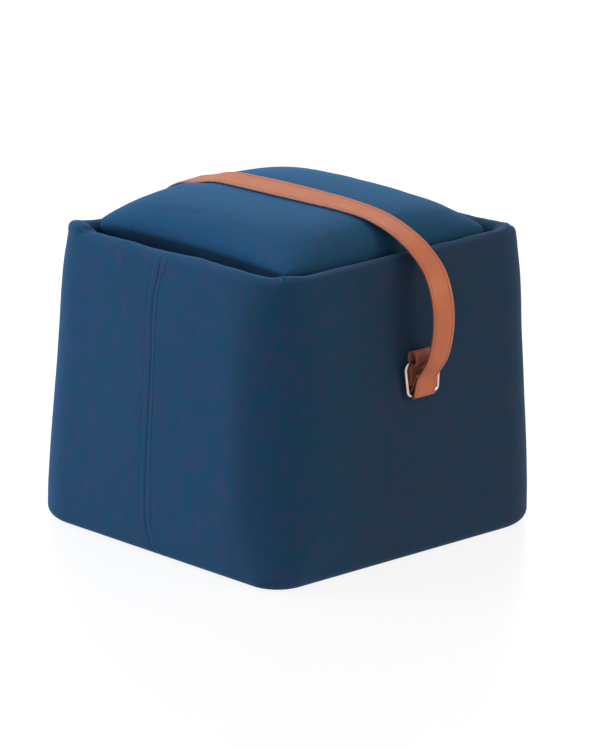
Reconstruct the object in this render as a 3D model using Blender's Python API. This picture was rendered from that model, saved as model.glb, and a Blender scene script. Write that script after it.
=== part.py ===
"""Cube pouf stool: a filled velvet cube with a soft standing rim, a crowned seat cushion
set down inside the rim, and a leather handle strap that runs over the seat from a metal
ring on the front face to another on the back face.

Metres, +Z up. The origin is on the floor under the middle of the foot. The front (-Y) face
carries the ring that the strap hangs lowest over, and the -X face carries the long seam.
"""

import math
from collections import namedtuple

import bmesh
import bpy
from mathutils import Vector

# ---------------------------------------------------------------- sizes (metres)
GAP = 0.0003  # between pieces that touch

RIM_HEIGHT = 0.355  # crest of the standing rim
LEAN = (0.01375, -0.01268)  # how far the walls lean sideways for each metre of height
FOOT_ROUND = 0.0128  # soft edge round the foot
RIM_THICKNESS = 0.024  # the side cover doubled over at the top
RECESS_FLOOR = 0.312  # what the seat cushion lies on
INNER_CORNER = 0.035  # corner radius inside the rim
FACE_BULGE = 0.0025  # each face is a little full in its middle
SEAM_DEPTH = 0.0012
SEAM_HALF = 0.0035

BASE_INSET = 0.024  # the side cover turned under the foot
BASE_THICKNESS = 0.0025

SEAT_LEFT, SEAT_RIGHT = -0.160, 0.160
SEAT_FRONT, SEAT_BACK = -0.1775, 0.161
SEAT_EDGE = 0.349  # height of the cushion's widest line
SEAT_CROWN = 0.0400  # how far the crown stands over that line
SEAT_FULL = (5.2, 6.8)  # how square the crown is, across and along
SEAT_CORNER_FALL = 0.44  # how much lower it is towards its corners
SEAT_ROUND = 0.53  # how steeply it starts at the edge
SEAT_PEAK = (-0.04, 0.03)  # the peak's place, as a fraction of the half sides
SEAT_TIP = 0.0045  # softening of the corner tips
SEAT_UNDERCUT = 0.016  # how far the sides draw in at the bottom
SEAT_LEFT_DRAWN = 0.012  # the left side draws in between its corners
SEAT_LEFT_LIFT = 0.0045  # and its widest line is higher there
SEAT_SWELL = 0.0030  # it swells a little beside the strap's far end
SEAT_SWELL_AT = (-0.018, 0.138)

STRAP_X = 0.005
STRAP_WIDTH = 0.033
STRAP_THICKNESS = 0.0023
STRAP_TURN_BACK = 0.025  # length folded back behind the strap, above the ring's low wire

WIRE = 0.002  # ring wire radius
RING_BAR_HALF = 0.0265  # straight bar, half its length
RING_LOW_HALF = 0.0228  # lower corners
RING_TOP_ROUND, RING_LOW_ROUND = 0.0080, 0.0056  # corner radii
RING_SHIFT = 0.0010  # the rings have slid this far along the strap's width
RING_BAR_Z, RING_LOW_Z = 0.2326, 0.1950
RING_BAR_OUT, RING_LOW_OUT = 0.0068, 0.0062  # clear of the face, to the wire's middle

TAB_WIDTH = 0.031
TAB_PLY = 0.0019
TAB_TOP = 0.2466
TAB_DEPTH = 0.0148  # how far its roll stands out
TAB_TAIL_END = 0.2050

WallRow = namedtuple("WallRow", "z half corner near_corner")
BODY_WALL = [
    WallRow(0.0128, 0.2200, 0.074, 0.043),
    WallRow(0.0350, 0.2194, 0.073, 0.058),
    WallRow(0.0700, 0.2180, 0.072, 0.073),
    WallRow(0.1100, 0.2158, 0.070, 0.081),
    WallRow(0.1500, 0.2134, 0.068, 0.084),
    WallRow(0.1900, 0.2109, 0.066, 0.084),
    WallRow(0.2300, 0.2084, 0.063, 0.082),
    WallRow(0.2700, 0.2060, 0.060, 0.077),
    WallRow(0.3050, 0.2036, 0.058, 0.069),
    WallRow(0.3300, 0.2010, 0.057, 0.061),
    WallRow(0.3430, 0.1992, 0.056, 0.058),
]

SeamRow = namedtuple("SeamRow", "z y")
SEAM = [
    SeamRow(0.0000, -0.0160),
    SeamRow(0.0098, -0.0110),
    SeamRow(0.0186, -0.0070),
    SeamRow(0.0300, -0.0015),
    SeamRow(0.0400, 0.0010),
    SeamRow(0.0640, 0.0027),
    SeamRow(0.1200, 0.0032),
    SeamRow(0.1810, 0.0037),
    SeamRow(0.2510, 0.0065),
    SeamRow(0.2930, 0.0092),
    SeamRow(0.3070, 0.0088),
    SeamRow(0.3170, 0.0078),
    SeamRow(0.3265, 0.0064),
    SeamRow(0.3400, 0.0048),
    SeamRow(0.3483, 0.0038),
    SeamRow(0.3560, 0.0030),
]

# how far the rim's crest sags between its corners, on each side of the seat
RimRow = namedtuple("RimRow", "side_x side_y sag")
RIM_SAG = [
    RimRow(-1, 0, 0.0010),
    RimRow(0, -1, 0.0010),
    RimRow(1, 0, 0.0080),
    RimRow(0, 1, 0.0100),
]
# how much lower the crest is than that along the -X side and round its two corners: the turn is
# the angle in degrees from the middle of that side, towards +Y
DipRow = namedtuple("DipRow", "turn dip")
RIM_DIP = [
    DipRow(-56, 0.0000),
    DipRow(-52, 0.0007),
    DipRow(-48.5, 0.0001),
    DipRow(-46, -0.0006),
    DipRow(-44.5, 0.0002),
    DipRow(-42, 0.0021),
    DipRow(-40, 0.0016),
    DipRow(-36, 0.0010),
    DipRow(-24, 0.0008),
    DipRow(-20, 0.0004),
    DipRow(-16, 0.0000),
    DipRow(-12, 0.0006),
    DipRow(-9, 0.0018),
    DipRow(-5, 0.0025),
    DipRow(0, 0.0028),
    DipRow(5, 0.0036),
    DipRow(12, 0.0040),
    DipRow(22, 0.0038),
    DipRow(27, 0.0041),
    DipRow(29.4, 0.0045),
    DipRow(32, 0.0049),
    DipRow(34.5, 0.0049),
    DipRow(36.4, 0.0056),
    DipRow(37.6, 0.0046),
    DipRow(38.8, 0.0014),
    DipRow(39.8, 0.0001),
    DipRow(42, 0.0000),
    DipRow(45, 0.0004),
    DipRow(50, 0.0018),
    DipRow(58, 0.0020),
    DipRow(70, 0.0008),
    DipRow(80, 0.0000),
]

# The strap's upper side, from the front ring over the seat to the back ring. x is its middle,
# which has slid a little to the left on the crown; roll is the tilt about its own length, in
# degrees, with the left (-X) edge lower.
StrapRow = namedtuple("StrapRow", "y z x roll")
STRAP_PATH = [
    StrapRow(-0.2292, 0.2080, 0.005, 0),
    StrapRow(-0.2322, 0.2160, 0.005, 0),
    StrapRow(-0.2395, 0.2262, 0.005, 0),
    StrapRow(-0.2468, 0.2370, 0.005, 0),
    StrapRow(-0.2532, 0.2550, 0.005, 0),
    StrapRow(-0.2574, 0.2800, 0.005, 0),
    StrapRow(-0.2554, 0.3090, 0.005, 0),
    StrapRow(-0.2430, 0.3400, 0.005, 0),
    StrapRow(-0.2160, 0.3640, 0.005, 0),
    StrapRow(-0.1830, 0.3795, 0.005, 1),
    StrapRow(-0.1500, 0.3892, 0.003, 3),
    StrapRow(-0.1100, 0.3941, -0.001, 7),
    StrapRow(-0.0600, 0.3960, -0.006, 11),
    StrapRow(0.0000, 0.3965, -0.010, 13),
    StrapRow(0.0500, 0.3951, -0.010, 12),
    StrapRow(0.1000, 0.3914, -0.008, 10),
    StrapRow(0.1380, 0.3820, -0.003, 6),
    StrapRow(0.1700, 0.3738, 0.000, 3),
    StrapRow(0.1995, 0.3566, 0.003, 0),
    StrapRow(0.2200, 0.3320, 0.005, 0),
    StrapRow(0.2330, 0.3020, 0.005, 0),
    StrapRow(0.2370, 0.2720, 0.005, 0),
    StrapRow(0.2352, 0.2540, 0.005, 0),
    StrapRow(0.2318, 0.2390, 0.005, 0),
    StrapRow(0.2276, 0.2280, 0.005, 0),
    StrapRow(0.2246, 0.2180, 0.005, 0),
    StrapRow(0.2230, 0.2080, 0.005, 0),
]


# ---------------------------------------------------------------- small helpers
def clear_scene():
    for obj in list(bpy.data.objects):
        bpy.data.objects.remove(obj, do_unlink=True)


def read_rows(rows, at, column):
    """A column of a table, read where its first column is `at` (straight between the rows)."""
    if at <= rows[0][0]:
        return getattr(rows[0], column)
    for low, high in zip(rows, rows[1:]):
        if at <= high[0]:
            t = (at - low[0]) / (high[0] - low[0])
            return (1 - t) * getattr(low, column) + t * getattr(high, column)
    return getattr(rows[-1], column)


def material(name, colour, roughness, metallic=0.0):
    made = bpy.data.materials.new(name)
    made.use_nodes = True
    shader = made.node_tree.nodes["Principled BSDF"]
    shader.inputs["Base Color"].default_value = (*colour, 1.0)
    shader.inputs["Roughness"].default_value = roughness
    shader.inputs["Metallic"].default_value = metallic
    made.diffuse_color = (*colour, 1.0)
    return made


def finish(name, bm, made_of, sharp_degrees=50):
    """Turns a bmesh into a named object with its faces out and its round parts smooth."""
    bmesh.ops.recalc_face_normals(bm, faces=bm.faces)
    if bm.calc_volume(signed=True) < 0:
        bmesh.ops.reverse_faces(bm, faces=bm.faces)
    mesh = bpy.data.meshes.new(name)
    bm.to_mesh(mesh)
    bm.free()
    mesh.shade_smooth()
    mesh.set_sharp_from_angle(angle=math.radians(sharp_degrees))
    mesh.materials.append(made_of)
    obj = bpy.data.objects.new(name, mesh)
    bpy.context.scene.collection.objects.link(obj)
    return obj


def bridge(bm, first, second):
    """Quads between two closed rings of the same count."""
    count = len(first)
    for i in range(count):
        j = (i + 1) % count
        bm.faces.new((first[i], first[j], second[j], second[i]))


def tube_between(bm, sections, closed=False):
    """Skins a row of sections of equal count, with flat ends unless it closes on itself."""
    rings = [[bm.verts.new(point) for point in section] for section in sections]
    for first, second in zip(rings, rings[1:]):
        bridge(bm, first, second)
    if closed:
        bridge(bm, rings[-1], rings[0])
    else:
        bm.faces.new(rings[0])
        bm.faces.new(rings[-1])
    return rings


def smooth_path(points, steps):
    """Points along a smooth curve through the given ones (centripetal in length)."""
    count = len(points)
    size = len(points[0])
    tangents = []
    spans = [math.dist(a[:2], b[:2]) for a, b in zip(points, points[1:])]
    for i in range(count):
        if i == 0:
            tangents.append([(points[1][k] - points[0][k]) / spans[0] for k in range(size)])
        elif i == count - 1:
            tangents.append([(points[-1][k] - points[-2][k]) / spans[-1] for k in range(size)])
        else:
            before, after = spans[i - 1], spans[i]
            tangents.append(
                [
                    (
                        (points[i][k] - points[i - 1][k]) / before * after
                        + (points[i + 1][k] - points[i][k]) / after * before
                    )
                    / (before + after)
                    for k in range(size)
                ]
            )
    found = []
    for i in range(count - 1):
        for step in range(steps):
            t = step / steps
            h00, h10 = 2 * t**3 - 3 * t**2 + 1, t**3 - 2 * t**2 + t
            h01, h11 = -2 * t**3 + 3 * t**2, t**3 - t**2
            found.append(
                [
                    h00 * points[i][k]
                    + h10 * spans[i] * tangents[i][k]
                    + h01 * points[i + 1][k]
                    + h11 * spans[i] * tangents[i + 1][k]
                    for k in range(size)
                ]
            )
    found.append(list(points[-1]))
    return found


# ---------------------------------------------------------------- the filled body
CORNER_STEPS = 7
SIDE_FRACTIONS = [-0.75, -0.45, -0.15, 0.15, 0.45, 0.75]
QUADRANTS = [(1, 1), (-1, 1), (-1, -1), (1, -1)]


def outline(half, corners, z, bulge, seam_y=None, seam_depth=0.0):
    """One level of the body, counterclockwise from above: a square with a radius for each
    corner and faces that are full by `bulge` in the middle. seam_y puts the seam's three
    columns on the -X face."""
    shift_x, shift_y = LEAN[0] * z, LEAN[1] * z
    found = []
    for index, (sx, sy) in enumerate(QUADRANTS):
        radius = corners[index]
        cx, cy = sx * (half - radius), sy * (half - radius)
        for step in range(CORNER_STEPS + 1):
            angle = math.radians(90 * (index + step / CORNER_STEPS))
            found.append((cx + radius * math.cos(angle), cy + radius * math.sin(angle)))
        # the face that follows this corner: its outward direction and its run
        out = (-(index % 2) * (1 if index == 1 else -1), (1 - index % 2) * (1 if index == 0 else -1))
        run = (-out[1], out[0])
        start = half - radius
        end = half - corners[(index + 1) % 4]
        if index == 1 and seam_y is not None:
            middle = -seam_y  # along the run, which goes towards -Y here
            length = (start + end) / 2
            seam = [(middle - SEAM_HALF, 0.0), (middle, seam_depth), (middle + SEAM_HALF, 0.0)]
            left = [(-start + (middle - SEAM_HALF + start) * k / 4, 0.0) for k in (1, 2, 3)]
            right = [(middle + SEAM_HALF + (end - middle - SEAM_HALF) * k / 4, 0.0) for k in (1, 2, 3)]
            places = [(along / length, dip) for along, dip in left + seam + right]
            spans = [along for along, dip in left + seam + right]
        else:
            places = [(f, 0.0) for f in SIDE_FRACTIONS]
            spans = [f * start if f < 0 else f * end for f in SIDE_FRACTIONS]
        for along, (fraction, dip) in zip(spans, places):
            fullness = bulge * max(0.0, 1 - fraction * fraction) ** 2
            reach = half + fullness - dip
            found.append((out[0] * reach + run[0] * along, out[1] * reach + run[1] * along))
    return [(x + shift_x, y + shift_y) for x, y in found]


def crest_sag(x, y, z, half):
    """How far the rim hangs below its full height here: nothing down the walls."""
    x, y = (x - LEAN[0] * z) / half, (y - LEAN[1] * z) / half
    fade = max(0.0, min(1.0, (z - 0.27) / 0.06))
    sag = 0.0
    for row in RIM_SAG:
        facing = max(0.0, row.side_x * x + row.side_y * y)
        along = min(1.0, abs(row.side_y * x + row.side_x * y))
        sag += row.sag * min(1.0, facing) ** 8 * (1 - along**5)
    turn = math.degrees(math.atan2(y, -x))
    if RIM_DIP[0].turn < turn < RIM_DIP[-1].turn:
        sag += read_rows(RIM_DIP, turn, "dip")
    return sag * fade


def body_level(half, z, corner, near_corner, bulge, seam_depth):
    corners = [corner, corner, near_corner, corner]
    flat = outline(half, corners, z, bulge, read_rows(SEAM, z, "y"), seam_depth)
    return [Vector((x, y, z - crest_sag(x, y, z, half))) for x, y in flat]


def make_body(velvet):
    levels = []
    foot = BODY_WALL[0]
    base_half = foot.half - BASE_INSET
    base_corner = foot.corner - BASE_INSET
    base_near = foot.near_corner - BASE_INSET
    # the shallow seat for the base panel, and the cover turned under the foot
    levels.append(body_level(base_half + GAP, BASE_THICKNESS + GAP, base_corner + GAP, base_near + GAP, 0, 0))
    levels.append(body_level(base_half + GAP, 0.0, base_corner + GAP, base_near + GAP, 0, 0))
    for step in range(5):
        angle = math.radians(90 * step / 4)
        inset = FOOT_ROUND * (1 - math.sin(angle))
        z = FOOT_ROUND * (1 - math.cos(angle))
        depth = SEAM_DEPTH * (0.0 if step == 0 else step / 4)
        levels.append(body_level(foot.half - inset, z, foot.corner - inset, foot.near_corner - inset, 0, depth))
    # the walls
    for row in BODY_WALL[1:]:
        share = (row.z - foot.z) / (BODY_WALL[-1].z - foot.z)
        full = FACE_BULGE * math.sin(math.pi * share)
        levels.append(body_level(row.half, row.z, row.corner, row.near_corner, full, SEAM_DEPTH))
    # the soft fold over the rim
    top = BODY_WALL[-1]
    across = RIM_THICKNESS / 2
    rise = RIM_HEIGHT - top.z
    for step in range(1, 9):
        angle = math.radians(180 * step / 8)
        inset = across * (1 - math.cos(angle))
        z = top.z + rise * math.sin(angle)
        share = inset / RIM_THICKNESS
        corner = (1 - share) * top.corner + share * INNER_CORNER
        near = (1 - share) * top.near_corner + share * INNER_CORNER
        depth = SEAM_DEPTH if step <= 3 else 0.0
        levels.append(body_level(top.half - inset, z, corner, near, 0, depth))
    # the rim's inside and the floor of the recess
    inner = top.half - RIM_THICKNESS
    levels.append(body_level(inner, 0.330, INNER_CORNER, INNER_CORNER, 0, 0))
    levels.append(body_level(inner - 0.001, RECESS_FLOOR + 0.004, INNER_CORNER, INNER_CORNER, 0, 0))
    levels.append(body_level(inner - 0.005, RECESS_FLOOR, INNER_CORNER - 0.004, INNER_CORNER - 0.004, 0, 0))
    for level in levels[-1:]:
        for point in level:
            point.z = RECESS_FLOOR
    bm = bmesh.new()
    tube_between(bm, levels)
    return finish("body", bm, velvet)


def make_base_panel(cloth):
    foot = BODY_WALL[0]
    half = foot.half - BASE_INSET
    corners = [foot.corner - BASE_INSET] * 4
    corners[2] = foot.near_corner - BASE_INSET
    bm = bmesh.new()
    flat = outline(half - GAP, corners, 0.0, 0)
    tube_between(bm, [[Vector((x, y, z)) for x, y in flat] for z in (0.0, BASE_THICKNESS)])
    return finish("base_panel", bm, cloth)


# ---------------------------------------------------------------- the strap's run
def strap_middle():
    """The strap's middle line as (y, z, x, roll), front ring to back ring: the table's upper
    side moved in by half its thickness."""
    upper = smooth_path([tuple(row) for row in STRAP_PATH], 4)
    found = []
    for i, (y, z, x, roll) in enumerate(upper):
        before, after = upper[max(0, i - 1)], upper[min(len(upper) - 1, i + 1)]
        run = Vector((after[0] - before[0], after[1] - before[1])).normalized()
        inward = Vector((run.y, -run.x))  # to the right of the run: under the strap
        found.append((y + inward.x * STRAP_THICKNESS / 2, z + inward.y * STRAP_THICKNESS / 2, x, roll))
    return found


def strap_over(y):
    """The strap's middle over a point of the seat, as (x, z, roll in radians)."""
    for a, b in zip(STRAP_LINE, STRAP_LINE[1:]):
        if a[0] <= y <= b[0] and a[1] > 0.33:
            t = (y - a[0]) / (b[0] - a[0])
            z, x, roll = ((1 - t) * a[k] + t * b[k] for k in (1, 2, 3))
            return x, z, math.radians(roll)
    return STRAP_X, 1.0, 0.0


def face_y(z, side):
    """The front (side -1) or back (side 1) face's y at the strap."""
    half = read_rows(BODY_WALL, z, "half")
    share = (z - BODY_WALL[0].z) / (BODY_WALL[-1].z - BODY_WALL[0].z)
    return side * (half + FACE_BULGE * math.sin(math.pi * share)) + LEAN[1] * z


STRAP_LINE = strap_middle()


# ---------------------------------------------------------------- the seat cushion
def spaced(low, high, count, tight_low, tight_high):
    """count steps from low to high, closer together at the ends that are marked tight."""
    found = []
    for i in range(count + 1):
        t = i / count
        if tight_low and tight_high:
            t = (1 - math.cos(math.pi * t)) / 2
        elif tight_low:
            t = 1 - math.cos(math.pi / 2 * t)
        elif tight_high:
            t = math.sin(math.pi / 2 * t)
        found.append(low + (high - low) * t)
    return found


def seat_columns():
    """Fractions across the seat, with columns that follow the strap's two edges."""
    middle, half = (SEAT_LEFT + SEAT_RIGHT) / 2, (SEAT_RIGHT - SEAT_LEFT) / 2
    strap_x = strap_over(0.0)[0]
    left_edge = (strap_x - STRAP_WIDTH / 2 - 0.002 - middle) / half
    right_edge = (strap_x + STRAP_WIDTH / 2 + 0.006 - middle) / half
    across = spaced(-1.0, left_edge, 9, True, False)
    across += spaced(left_edge, right_edge, 4, False, False)[1:]
    across += spaced(right_edge, 1.0, 9, False, True)[1:]
    return across


def seat_point(u, v):
    """A point of the crown from its fractions across (u) and along (v)."""
    half_x, half_y = (SEAT_RIGHT - SEAT_LEFT) / 2, (SEAT_BACK - SEAT_FRONT) / 2
    x = (SEAT_LEFT + SEAT_RIGHT) / 2 + half_x * u
    y = (SEAT_FRONT + SEAT_BACK) / 2 + half_y * v
    if u < 0:  # the left side draws in between its corners
        x += SEAT_LEFT_DRAWN * u * u * (1 - v * v)
    else:
        x -= 0.003 * u * u * (1 - v * v)
    if v > 0:
        y -= 0.002 * v * v * (1 - u * u)
    tip = SEAT_TIP * abs(u) ** 14 * abs(v) ** 14
    x -= math.copysign(tip, u)
    y -= math.copysign(tip, v)
    pu = u - SEAT_PEAK[0] * (1 - u * u)
    pv = v - SEAT_PEAK[1] * (1 - v * v)
    full = max(0.0, 1 - abs(pu) ** SEAT_FULL[0]) * max(0.0, 1 - abs(pv) ** SEAT_FULL[1])
    z = SEAT_EDGE + SEAT_CROWN * full**SEAT_ROUND * (1 - SEAT_CORNER_FALL * (u * v) ** 2)
    z += SEAT_LEFT_LIFT * max(0.0, -u) ** 14 * (1 - v**8)
    away = ((x - SEAT_SWELL_AT[0]) / 0.028) ** 2 + ((y - SEAT_SWELL_AT[1]) / 0.024) ** 2
    z += SEAT_SWELL * math.exp(-away)
    # the strap lies in a shallow hollow that it has pressed
    strap_x, strap_z, roll = strap_over(y)
    beyond = max(0.0, abs(x - strap_x) - STRAP_WIDTH / 2 - 0.001)
    beside = max(-STRAP_WIDTH / 2, min(STRAP_WIDTH / 2, x - strap_x))
    underside = strap_z + beside * math.tan(roll) - STRAP_THICKNESS / 2 / math.cos(roll)
    limit = underside - GAP - 0.0009 + 0.30 * beyond + 9.0 * beyond * beyond
    blend = 0.0015
    gap = limit - z
    if gap < blend:
        z = min(z, limit) if gap < -blend else z - (blend - gap) ** 2 / (4 * blend)
    return Vector((x, y, z))


def make_seat(velvet):
    across = seat_columns()
    along = spaced(-1.0, 1.0, 22, True, True)
    bm = bmesh.new()
    grid = [[bm.verts.new(seat_point(u, v)) for v in along] for u in across]
    for first, second in zip(grid, grid[1:]):
        for i in range(len(along) - 1):
            bm.faces.new((first[i], second[i], second[i + 1], first[i + 1]))
    last_u, last_v = len(across) - 1, len(along) - 1
    rim = [grid[i][0] for i in range(last_u)]
    rim += [grid[last_u][i] for i in range(last_v)]
    rim += [grid[i][last_v] for i in range(last_u, 0, -1)]
    rim += [grid[0][i] for i in range(last_v, 0, -1)]
    centre = Vector(((SEAT_LEFT + SEAT_RIGHT) / 2, (SEAT_FRONT + SEAT_BACK) / 2, 0))
    bottom = RECESS_FLOOR + GAP
    previous = rim
    for share, drop in ((0.42, 0.30), (0.80, 0.70), (1.0, 1.0)):
        ring = []
        for vert in rim:
            flat = Vector((vert.co.x, vert.co.y, 0)) - centre
            pull = SEAT_UNDERCUT * share / max(abs(flat.x), abs(flat.y))
            point = centre + flat * (1 - pull)
            point.z = vert.co.z + (bottom - vert.co.z) * drop
            ring.append(bm.verts.new(point))
        bridge(bm, previous, ring)
        previous = ring
    bm.faces.new(previous)
    return finish("seat_cushion", bm, velvet)


# ---------------------------------------------------------------- strap, rings and tabs
def ring_line(side):
    """Where a ring's straight bar and lowest wire lie, as (y, z)."""
    bar = (face_y(RING_BAR_Z, side) + side * RING_BAR_OUT, RING_BAR_Z)
    low = (face_y(RING_LOW_Z, side) + side * RING_LOW_OUT, RING_LOW_Z)
    return bar, low


def strap_sections():
    """The strap's whole middle line as (y, z, x, roll), with both folded ends."""
    middle = STRAP_LINE
    front_fold = fold_points(middle, -1)
    back_fold = fold_points(middle[::-1], 1)
    return front_fold[::-1] + middle + back_fold


def fold_points(line, side):
    """From the end of `line` (its first point is nearest the ring): down to the ring, round
    its low wire, and back up close behind the strap."""
    bar, low = ring_line(side)
    centre = Vector(low)
    reach = WIRE + 2 * GAP + STRAP_THICKNESS / 2
    start = Vector(line[0][:2])
    to_centre = centre - start
    distance = to_centre.length
    lead = math.asin(reach / distance)
    base = math.atan2(to_centre.y, to_centre.x)
    # outward is -Y at the front and +Y at the back
    options = []
    for sign in (1, -1):
        aim = base + sign * lead
        touch = start + Vector((math.cos(aim), math.sin(aim))) * math.sqrt(distance**2 - reach**2)
        options.append((side * touch.x, touch, sign))
    touch = max(options, key=lambda option: option[0])[1]
    down = (touch - start).normalized()
    found = [start + (touch - start) * t for t in (0.35, 0.7, 1.0)]
    first = math.atan2(touch.y - centre.y, touch.x - centre.x)
    spin = 1 if side < 0 else -1  # under the wire, towards the face
    leave = math.radians(24 if side < 0 else 156)  # where the ply leaves the wire again
    turn = (leave - first) * spin % (2 * math.pi)
    for step in range(1, 10):
        angle = first + spin * turn * step / 9
        found.append(centre + Vector((math.cos(angle), math.sin(angle))) * reach)
    # back up behind the strap, closing on it towards the cut end
    clear = STRAP_THICKNESS + 0.0005
    travelled, climbing = 0.0, []
    points = [Vector(p[:2]) for p in line]
    before = touch
    for here, after in zip(points, points[1:]):
        travelled += (here - before).length
        if travelled > STRAP_TURN_BACK:
            break
        run = (after - before).normalized()
        behind = Vector((run.y, -run.x)) if side < 0 else Vector((-run.y, run.x))
        share = travelled / STRAP_TURN_BACK
        before = here
        if travelled > 0.010:
            climbing.append(here + behind * (clear + (2 * reach - clear) * (1 - share) ** 1.5))
    found += climbing
    return [(p.x, p.y, STRAP_X, 0.0) for p in found]


def make_strap(leather):
    line = strap_sections()
    half, thick, ease = STRAP_WIDTH / 2, STRAP_THICKNESS / 2, 0.0008
    profile = [
        (-half, -thick + ease), (-half + ease, -thick), (half - ease, -thick), (half, -thick + ease),
        (half, thick - ease), (half - ease, thick), (-half + ease, thick), (-half, thick - ease),
    ]
    sections = []
    for i, (y, z, x, roll) in enumerate(line):
        before, after = line[max(0, i - 1)], line[min(len(line) - 1, i + 1)]
        run = Vector((0, after[0] - before[0], after[1] - before[1])).normalized()
        across = Vector((1, 0, 0))
        up = across.cross(run)
        tilt = math.radians(roll)
        wide = across * math.cos(tilt) + up * math.sin(tilt)
        high = up * math.cos(tilt) - across * math.sin(tilt)
        middle = Vector((x, y, z))
        sections.append([middle + wide * a + high * b for a, b in profile])
    bm = bmesh.new()
    tube_between(bm, sections)
    return finish("handle_strap", bm, leather, 40)


def rounded_path(corners, steps):
    """A closed flat path through (across, along, radius) corners, each one rounded."""
    found = []
    count = len(corners)
    for i, (a, b, radius) in enumerate(corners):
        here = Vector((a, b))
        back = (Vector(corners[i - 1][:2]) - here).normalized()
        ahead = (Vector(corners[(i + 1) % count][:2]) - here).normalized()
        opening = back.angle(ahead)
        trim = radius / math.tan(opening / 2)
        centre = here + (back + ahead).normalized() * radius / math.sin(opening / 2)
        start, end = here + back * trim, here + ahead * trim
        first = math.atan2(start.y - centre.y, start.x - centre.x)
        sweep = math.atan2(end.y - centre.y, end.x - centre.x) - first
        while sweep > math.pi:
            sweep -= 2 * math.pi
        while sweep < -math.pi:
            sweep += 2 * math.pi
        for step in range(steps + 1):
            angle = first + sweep * step / steps
            found.append(centre + Vector((math.cos(angle), math.sin(angle))) * radius)
    return found


def make_ring(name, side, metal):
    bar, low = ring_line(side)
    height = math.dist(bar, low)
    down = Vector((0, low[0] - bar[0], low[1] - bar[1])).normalized()
    across = Vector((1, 0, 0))
    origin = Vector((STRAP_X + RING_SHIFT, bar[0], bar[1]))
    path = rounded_path(
        [
            (-RING_BAR_HALF, 0.0, RING_TOP_ROUND),
            (RING_BAR_HALF, 0.0, RING_TOP_ROUND),
            (RING_LOW_HALF, height, RING_LOW_ROUND),
            (-RING_LOW_HALF, height, RING_LOW_ROUND),
        ],
        6,
    )
    normal = across.cross(down)
    sections = []
    count = len(path)
    for i, point in enumerate(path):
        run = (path[(i + 1) % count] - path[i - 1]).normalized()
        run = across * run.x + down * run.y
        aside = normal.cross(run)
        middle = origin + across * point.x + down * point.y
        sections.append(
            [
                middle + (aside * math.cos(a) + normal * math.sin(a)) * WIRE
                for a in (2 * math.pi * k / 10 for k in range(10))
            ]
        )
    bm = bmesh.new()
    tube_between(bm, sections, closed=True)
    return finish(name, bm, metal, 60)


def make_tab(name, side, leather):
    """A strip rolled over the ring's bar, its two plies sewn flat to the face below it."""
    out = side

    def wall(z):
        return face_y(z, side) + out * (GAP + 0.0002)

    bar = ring_line(side)[0]
    hollow_low = bar[1] - WIRE - GAP - 0.0002
    outer_top, depth = TAB_TOP, TAB_DEPTH
    inner_top = outer_top - TAB_PLY
    # the hollow, as a tall rounded loop round the bar
    hollow, skin = [], []
    inner_back = wall(bar[1]) + out * TAB_PLY
    inner_front = wall(bar[1]) + out * (depth - TAB_PLY)
    centre_y = (inner_back + inner_front) / 2
    radius = abs(inner_front - inner_back) / 2
    high_centre, low_centre = inner_top - radius, hollow_low + radius
    steps = 7
    for step in range(steps + 1):
        angle = math.pi * step / steps
        hollow.append((centre_y + radius * math.cos(angle), high_centre + radius * math.sin(angle)))
        skin.append((centre_y + (radius + TAB_PLY) * math.cos(angle), high_centre + (radius + TAB_PLY) * math.sin(angle)))
    for step in range(steps + 1):
        angle = math.pi + math.pi * step / steps
        hollow.append((centre_y + radius * math.cos(angle), low_centre + radius * math.sin(angle)))
        skin.append((centre_y + (radius + TAB_PLY) * math.cos(angle), low_centre + (radius + TAB_PLY) * math.sin(angle)))
    left, right = STRAP_X - TAB_WIDTH / 2, STRAP_X + TAB_WIDTH / 2
    bm = bmesh.new()
    # the loop: outer skin, hollow and the two ring-shaped ends
    rings = {}
    for place, x in (("left", left), ("right", right)):
        rings[place, "skin"] = [bm.verts.new((x, y, z)) for y, z in skin]
        rings[place, "hollow"] = [bm.verts.new((x, y, z)) for y, z in hollow]
    bridge(bm, rings["left", "skin"], rings["right", "skin"])
    bridge(bm, rings["left", "hollow"], rings["right", "hollow"])
    bridge(bm, rings["left", "skin"], rings["left", "hollow"])
    bridge(bm, rings["right", "skin"], rings["right", "hollow"])
    loop = finish(name, bm, leather, 40)
    # the two plies sewn down, as one flat tail that the loop grows out of
    tail_top = low_centre - 0.001
    tail = []
    for x in (left, right):
        tail.append(
            [
                (x, wall(tail_top), tail_top),
                (x, wall(tail_top) + out * 2 * TAB_PLY, tail_top - 0.002),
                (x, wall(TAB_TAIL_END) + out * 2 * TAB_PLY, TAB_TAIL_END + 0.0006),
                (x, wall(TAB_TAIL_END) + out * (2 * TAB_PLY - 0.0006), TAB_TAIL_END),
                (x, wall(TAB_TAIL_END), TAB_TAIL_END),
            ]
        )
    bm = bmesh.new()
    tube_between(bm, [[Vector(p) for p in section] for section in tail])
    flap = finish(name + "_tail", bm, leather, 40)
    flap.hide_render = True
    flap.display_type = "WIRE"
    join = loop.modifiers.new("sewn", "BOOLEAN")
    join.operation = "UNION"
    join.solver = "EXACT"
    join.object = flap
    return loop


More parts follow.
